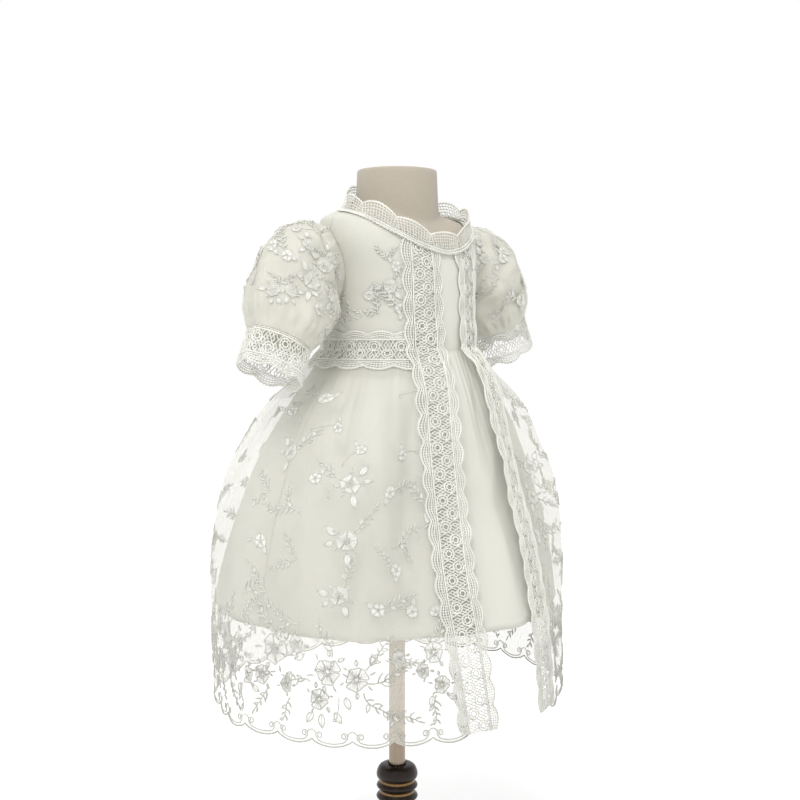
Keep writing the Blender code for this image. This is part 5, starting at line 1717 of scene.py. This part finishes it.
# Sprays on the bodice's front: turn, level, kind, angle and size
BODICE_SPRAYS = (
    (-50, 0.52, 2, -20, 0.8), (-44, 0.36, 0, 60, 0.75), (-58, 0.30, 1, 35, 0.8), (-72, 0.26, 3, 70, 0.6),
    (-46, 0.66, 4, 10, 0.9), (-64, 0.45, 4, -60, 0.9), (-86, 0.30, 2, 10, 0.7), (-53, 0.69, 1, -10, 0.5),
    (52, 0.50, 2, 25, 0.8), (46, 0.34, 0, -55, 0.75), (60, 0.30, 1, -30, 0.8), (74, 0.27, 3, -65, 0.6),
    (48, 0.68, 4, -12, 0.9), (66, 0.46, 4, 60, 0.9), (88, 0.31, 2, -15, 0.7), (55, 0.69, 1, 12, 0.5),
)


class GOWN_OT_bodice_embroidery(bpy.types.Operator):
    """Embroider the bodice's net, most of it beside the front trims"""

    bl_idname = "gown.bodice_embroidery"
    bl_label = "Bodice embroidery"

    def execute(self, context):
        seed = context.scene.gown_sizes.seed
        random = np.random.default_rng(seed + 90)

        def surface(turn, level):
            return raised(form_point, turn, level, BODICE_OFF_FORM + SATIN_OFF + NET_OFF + 0.05)

        def on_bodice(points):
            turn, height = np.abs(turn_of(points)), points[:, 2]
            inside = (height > 590) & (height < 690) & (turn > 39) & (turn < 177)
            return inside & ~in_armhole(points, 5)

        sprays = list(BODICE_SPRAYS)
        for k, turn in enumerate(range(114, 250, 14)):
            angle = random.choice((-1, 1)) * random.uniform(15, 70)
            sprays.append((turn, 0.25 + 0.19 * (k % 3), (0, 4, 2, 3, 1)[k % 5], angle, 0.62))
        work = Embroidery(SurfaceTable(surface, 0.0, 1.0, 150))
        for turn, level, kind, angle, size in sprays:
            work.add(placed(spray(kind, seed + turn % 360), 0, 0, angle, size), turn, level, on_bodice)
        work.make("bodice_embroidery")
        return {"FINISHED"}


class GOWN_OT_front_trims(bpy.types.Operator):
    """Make the guipure lace down both front edges"""

    bl_idname = "gown.front_trims"
    bl_label = "Front trims"

    def execute(self, context):
        sizes = context.scene.gown_sizes
        for side, sign in SIDES.items():
            top = levels_below_neckline(np.array([trim_turn(side, 1.0)]), np.array([TRIM_TOP_BELOW]))[0, 0]
            levels = np.linspace(-1.0, top, 400)
            runs = running(garment_point(trim_turn(side, levels), levels))
            run = float(runs[-1])

            def place(x, y):
                level = np.interp(x, runs, levels)
                middle = trim_turn(side, level)
                turn = middle + sign * y * degrees_per_mm(garment_point, middle, level)
                points = garment_point(turn, level)
                up = normals(garment_point, turn, np.clip(level, -0.99, 0.99))
                crossing = np.exp(-(((points[..., 2] - WAIST_Z) / 27) ** 6))
                lift = (sizes.lace_lift + sizes.crossing_lift * crossing) / MM
                return points + up * lift[..., None], up

            repeats = round(run / SCALLOP_REPEAT)
            made = lace_piece(f"front_trim_{side}_lace", place, run, repeats, trim_chart(run / repeats))
            flat = (TRIM_WIDTH * MM, run * MM)
            finish_lace(made, flat, "hung", ["bodice_front_satin"], f"front_trim_{side}")
        return {"FINISHED"}


class GOWN_OT_waist_trims(bpy.types.Operator):
    """Make the guipure lace round the waist"""

    bl_idname = "gown.waist_trims"
    bl_label = "Waist trims"

    def execute(self, context):
        lift = context.scene.gown_sizes.lace_lift / MM
        below, seam, above = (garment_point(90, level) for level in (-0.05, 0.0, 0.05))
        below, above = (0.05 / np.linalg.norm(other - seam) for other in (below, above))
        for side, sign in SIDES.items():
            turns = np.linspace(float(abs(trim_turn(side, 0.0))) + WAIST_TRIM_TUCK, 179.8, 300)
            runs = running(garment_point(sign * turns, 0.0 * turns))
            run = float(runs[-1])

            def place(x, y):
                turn, level = sign * np.interp(x, runs, turns), y * np.where(y > 0, above, below)
                up = normals(garment_point, turn, level)
                return garment_point(turn, level) + up * lift, up

            repeats = round(run / SCALLOP_REPEAT)
            made = lace_piece(f"waist_trim_{side}_lace", place, run, repeats, trim_chart(run / repeats))
            flat, rests_on = (TRIM_WIDTH * MM, run * MM), ["bodice_front_satin", "overskirt_back_net"]
            finish_lace(made, flat, "stretched", rests_on, f"waist_trim_{side}")
        return {"FINISHED"}


class GOWN_OT_collar(bpy.types.Operator):
    """Make the scalloped lace round the neck"""

    bl_idname = "gown.collar"
    bl_label = "Collar"

    def execute(self, context):
        lift = context.scene.gown_sizes.lace_lift / MM
        turns = np.linspace(-179.7, 179.7, 361)
        depths = np.linspace(0, COLLAR_WIDTH + 6, 60)
        levels = levels_below_neckline(turns, depths)
        runs = running(raised(form_point, turns, levels[30], BODICE_FACE))
        run = float(runs[-1])

        def place(x, y):
            turn = np.interp(x, runs, turns)
            depth = np.maximum(-y - COLLAR_RISE, COLLAR_CUSP)
            row, at = depth / depths[-1] * (len(depths) - 1), np.interp(turn, turns, np.arange(len(turns)))
            level = between(levels, row, at)
            up = normals(form_point, turn, level)
            over_trims = bell((np.minimum(away(turn, 27), away(turn, -27)) / 25) ** 3) * ease((depth - 5) / 4)
            stand = np.maximum(y + COLLAR_RISE + COLLAR_CUSP, 0)
            points = raised(form_point, turn, level, BODICE_FACE)
            points = points + up * (lift + 0.3 + 1.7 * over_trims + 0.16 * stand)[..., None]
            points[..., 2] += 0.97 * stand
            return points, up

        chart = collar_chart(run / COLLAR_SCALLOPS)
        made = lace_piece("collar_guipure", place, run, COLLAR_SCALLOPS, chart, COLLAR_WIDTH + 1)
        flat = ((COLLAR_WIDTH + COLLAR_STANDS) * MM, run * MM)
        finish_lace(made, flat, "stretched", ["bodice_front_satin"], "collar_lace")
        return {"FINISHED"}


class GOWN_OT_cuffs(bpy.types.Operator):
    """Make the lace cuffs"""

    bl_idname = "gown.cuffs"
    bl_label = "Cuffs"

    def execute(self, context):
        lean = math.radians(CUFF_LEAN)
        turns = np.linspace(0, 360, 181)
        for side, sign in SIDES.items():
            down = np.array([sign * math.sin(lean), 0.0, -math.cos(lean)])
            line = sleeve_point(side, turns, 1.0)
            runs, centre = running(line), line.mean(0)
            run = float(runs[-1])

            def place(x, y):
                turn = np.interp(np.mod(x, run), runs, turns)
                hang = y + BAND_HALF + CUFF_TOP
                ruffle = CUFF_RUFFLE * hang / CUFF_LENGTH * np.cos(np.radians(turn * CUFF_RUFFLES))
                drop = down * (hang + CUFF_SEAM)[..., None]
                points = sleeve_point(side, turn, 1.0, CUFF_FLARE * hang + ruffle) + drop
                up = points - (centre + drop)
                return points, up / np.linalg.norm(up, axis=-1, keepdims=True)

            chart = trim_chart(run / CUFF_REPEATS, CUFF_TOP, CUFF_LENGTH - 2 * BAND_HALF - CUFF_TOP)
            made = lace_piece(f"cuff_{side}_lace", place, run, CUFF_REPEATS, chart)
            flat, nodes = (run * MM, CUFF_LENGTH * MM), (f"cuff_lace_{side}_front", f"cuff_lace_{side}_back")
            finish_lace(made, flat, "hung", [f"sleeve_{side}_satin"], *nodes)
        return {"FINISHED"}


class GOWN_OT_buttons(bpy.types.Operator):
    """Make the pearl buttons of the back opening"""

    bl_idname = "gown.buttons"
    bl_label = "Buttons"

    def execute(self, context):
        profile = np.array(BUTTON_PROFILE)
        for number, level in enumerate(BUTTON_LEVELS, 1):
            made = turned(f"pearl_button_{number}", profile, "pearl", 40, lambda p: Vector((0, 0, 0.0013)))
            seat = raised(form_point, BUTTON_TURN, level, BODICE_FACE + BUTTON_OFF)
            normal = Vector(normals(form_point, np.array(BUTTON_TURN), np.array(level)))
            turn = normal.to_track_quat("Z", "Y").to_matrix().to_4x4()
            turn.translation = Vector(seat * MM)
            made.data.transform(turn)
            finish_piece(made, "pearl", f"back_button_{number}")
        return {"FINISHED"}


def aimed(name, data, place, back):
    """A light or a camera at a place, which looks away from the direction back."""
    made = link_object(name, data)
    made.location = place
    made.rotation_euler = Vector(back).to_track_quat("Z", "Y").to_euler()
    return made


class GOWN_OT_stage(bpy.types.Operator):
    """Make the floor, the light and the camera"""

    bl_idname = "gown.stage"
    bl_label = "Stage"

    def execute(self, context):
        scene = context.scene
        corners = [[(x, y, -0.2) for x in (-6000, 6000)] for y in (-6000, 6000)]
        grid_object("studio_floor", np.array(corners), finish("floor"))
        scene.world = bpy.data.worlds.new("studio")
        scene.world.use_nodes = True
        background = scene.world.node_tree.nodes["Background"]
        background.inputs["Color"].default_value = (1.0, 1.0, 1.0, 1.0)
        background.inputs["Strength"].default_value = 1.0
        for name, place, angle, energy in (
            ("key", (-1.4, -0.75, 2.2), 20, 1.22), ("back", (0.9, 0.9, 1.6), 50, 0.4),
        ):
            lamp = bpy.data.lights.new(name, "SUN")
            lamp.angle, lamp.energy = math.radians(angle), energy
            aimed(name, lamp, place, place)
        softbox = bpy.data.lights.new("softbox", "AREA")
        softbox.size, softbox.energy = 0.4, 0.95
        aimed("softbox", softbox, (-0.34, -0.26, 1.12), (-0.32, -0.2, 0.42))
        camera = bpy.data.cameras.new("camera")
        camera.lens, camera.sensor_width = 55.99, 36.0
        distance, height, turn = 1.2317, 0.6072, math.radians(45)
        yaw, pitch = math.radians(45.0 - 0.137), math.radians(3.987)
        place = (-distance * math.sin(turn), -distance * math.cos(turn), height)
        back = (-math.cos(yaw) * math.cos(pitch), -math.sin(yaw) * math.cos(pitch), math.sin(pitch))
        scene.camera = aimed("camera", camera, place, back)
        scene.view_settings.view_transform = "Standard"
        return {"FINISHED"}


PIECE_OPERATORS = (
    GOWN_OT_form,
    GOWN_OT_stand,
    GOWN_OT_bodice,
    GOWN_OT_bodice_embroidery,
    GOWN_OT_underskirt,
    GOWN_OT_overskirt,
    GOWN_OT_skirt_embroidery,
    GOWN_OT_sleeves,
    GOWN_OT_cuffs,
    GOWN_OT_waist_trims,
    GOWN_OT_front_trims,
    GOWN_OT_collar,
    GOWN_OT_buttons,
    GOWN_OT_stage,
)


class GOWN_PT_panel(bpy.types.Panel):
    """Lists the gown's pieces in the order they are made"""

    bl_idname = "GOWN_PT_panel"
    bl_label = "Christening Gown"
    bl_space_type = "VIEW_3D"
    bl_region_type = "UI"
    bl_category = "Gown"

    def draw(self, context):
        for group in (context.scene.gown_colours, context.scene.gown_sizes):
            for name in group.__annotations__:
                self.layout.prop(group, name)
        for operator in PIECE_OPERATORS:
            self.layout.operator(operator.bl_idname)


CLASSES = (GownColours, GownSizes, *PIECE_OPERATORS, GOWN_PT_panel)


def register():
    for made in CLASSES:
        bpy.utils.register_class(made)
    bpy.types.Scene.gown_colours = bpy.props.PointerProperty(type=GownColours)
    bpy.types.Scene.gown_sizes = bpy.props.PointerProperty(type=GownSizes)


def unregister():
    del bpy.types.Scene.gown_sizes
    del bpy.types.Scene.gown_colours
    for made in reversed(CLASSES):
        bpy.utils.unregister_class(made)


def main():
    register()
    for operator in PIECE_OPERATORS:
        group, name = operator.bl_idname.split(".")
        getattr(getattr(bpy.ops, group), name)()


if __name__ == "__main__":
    main()
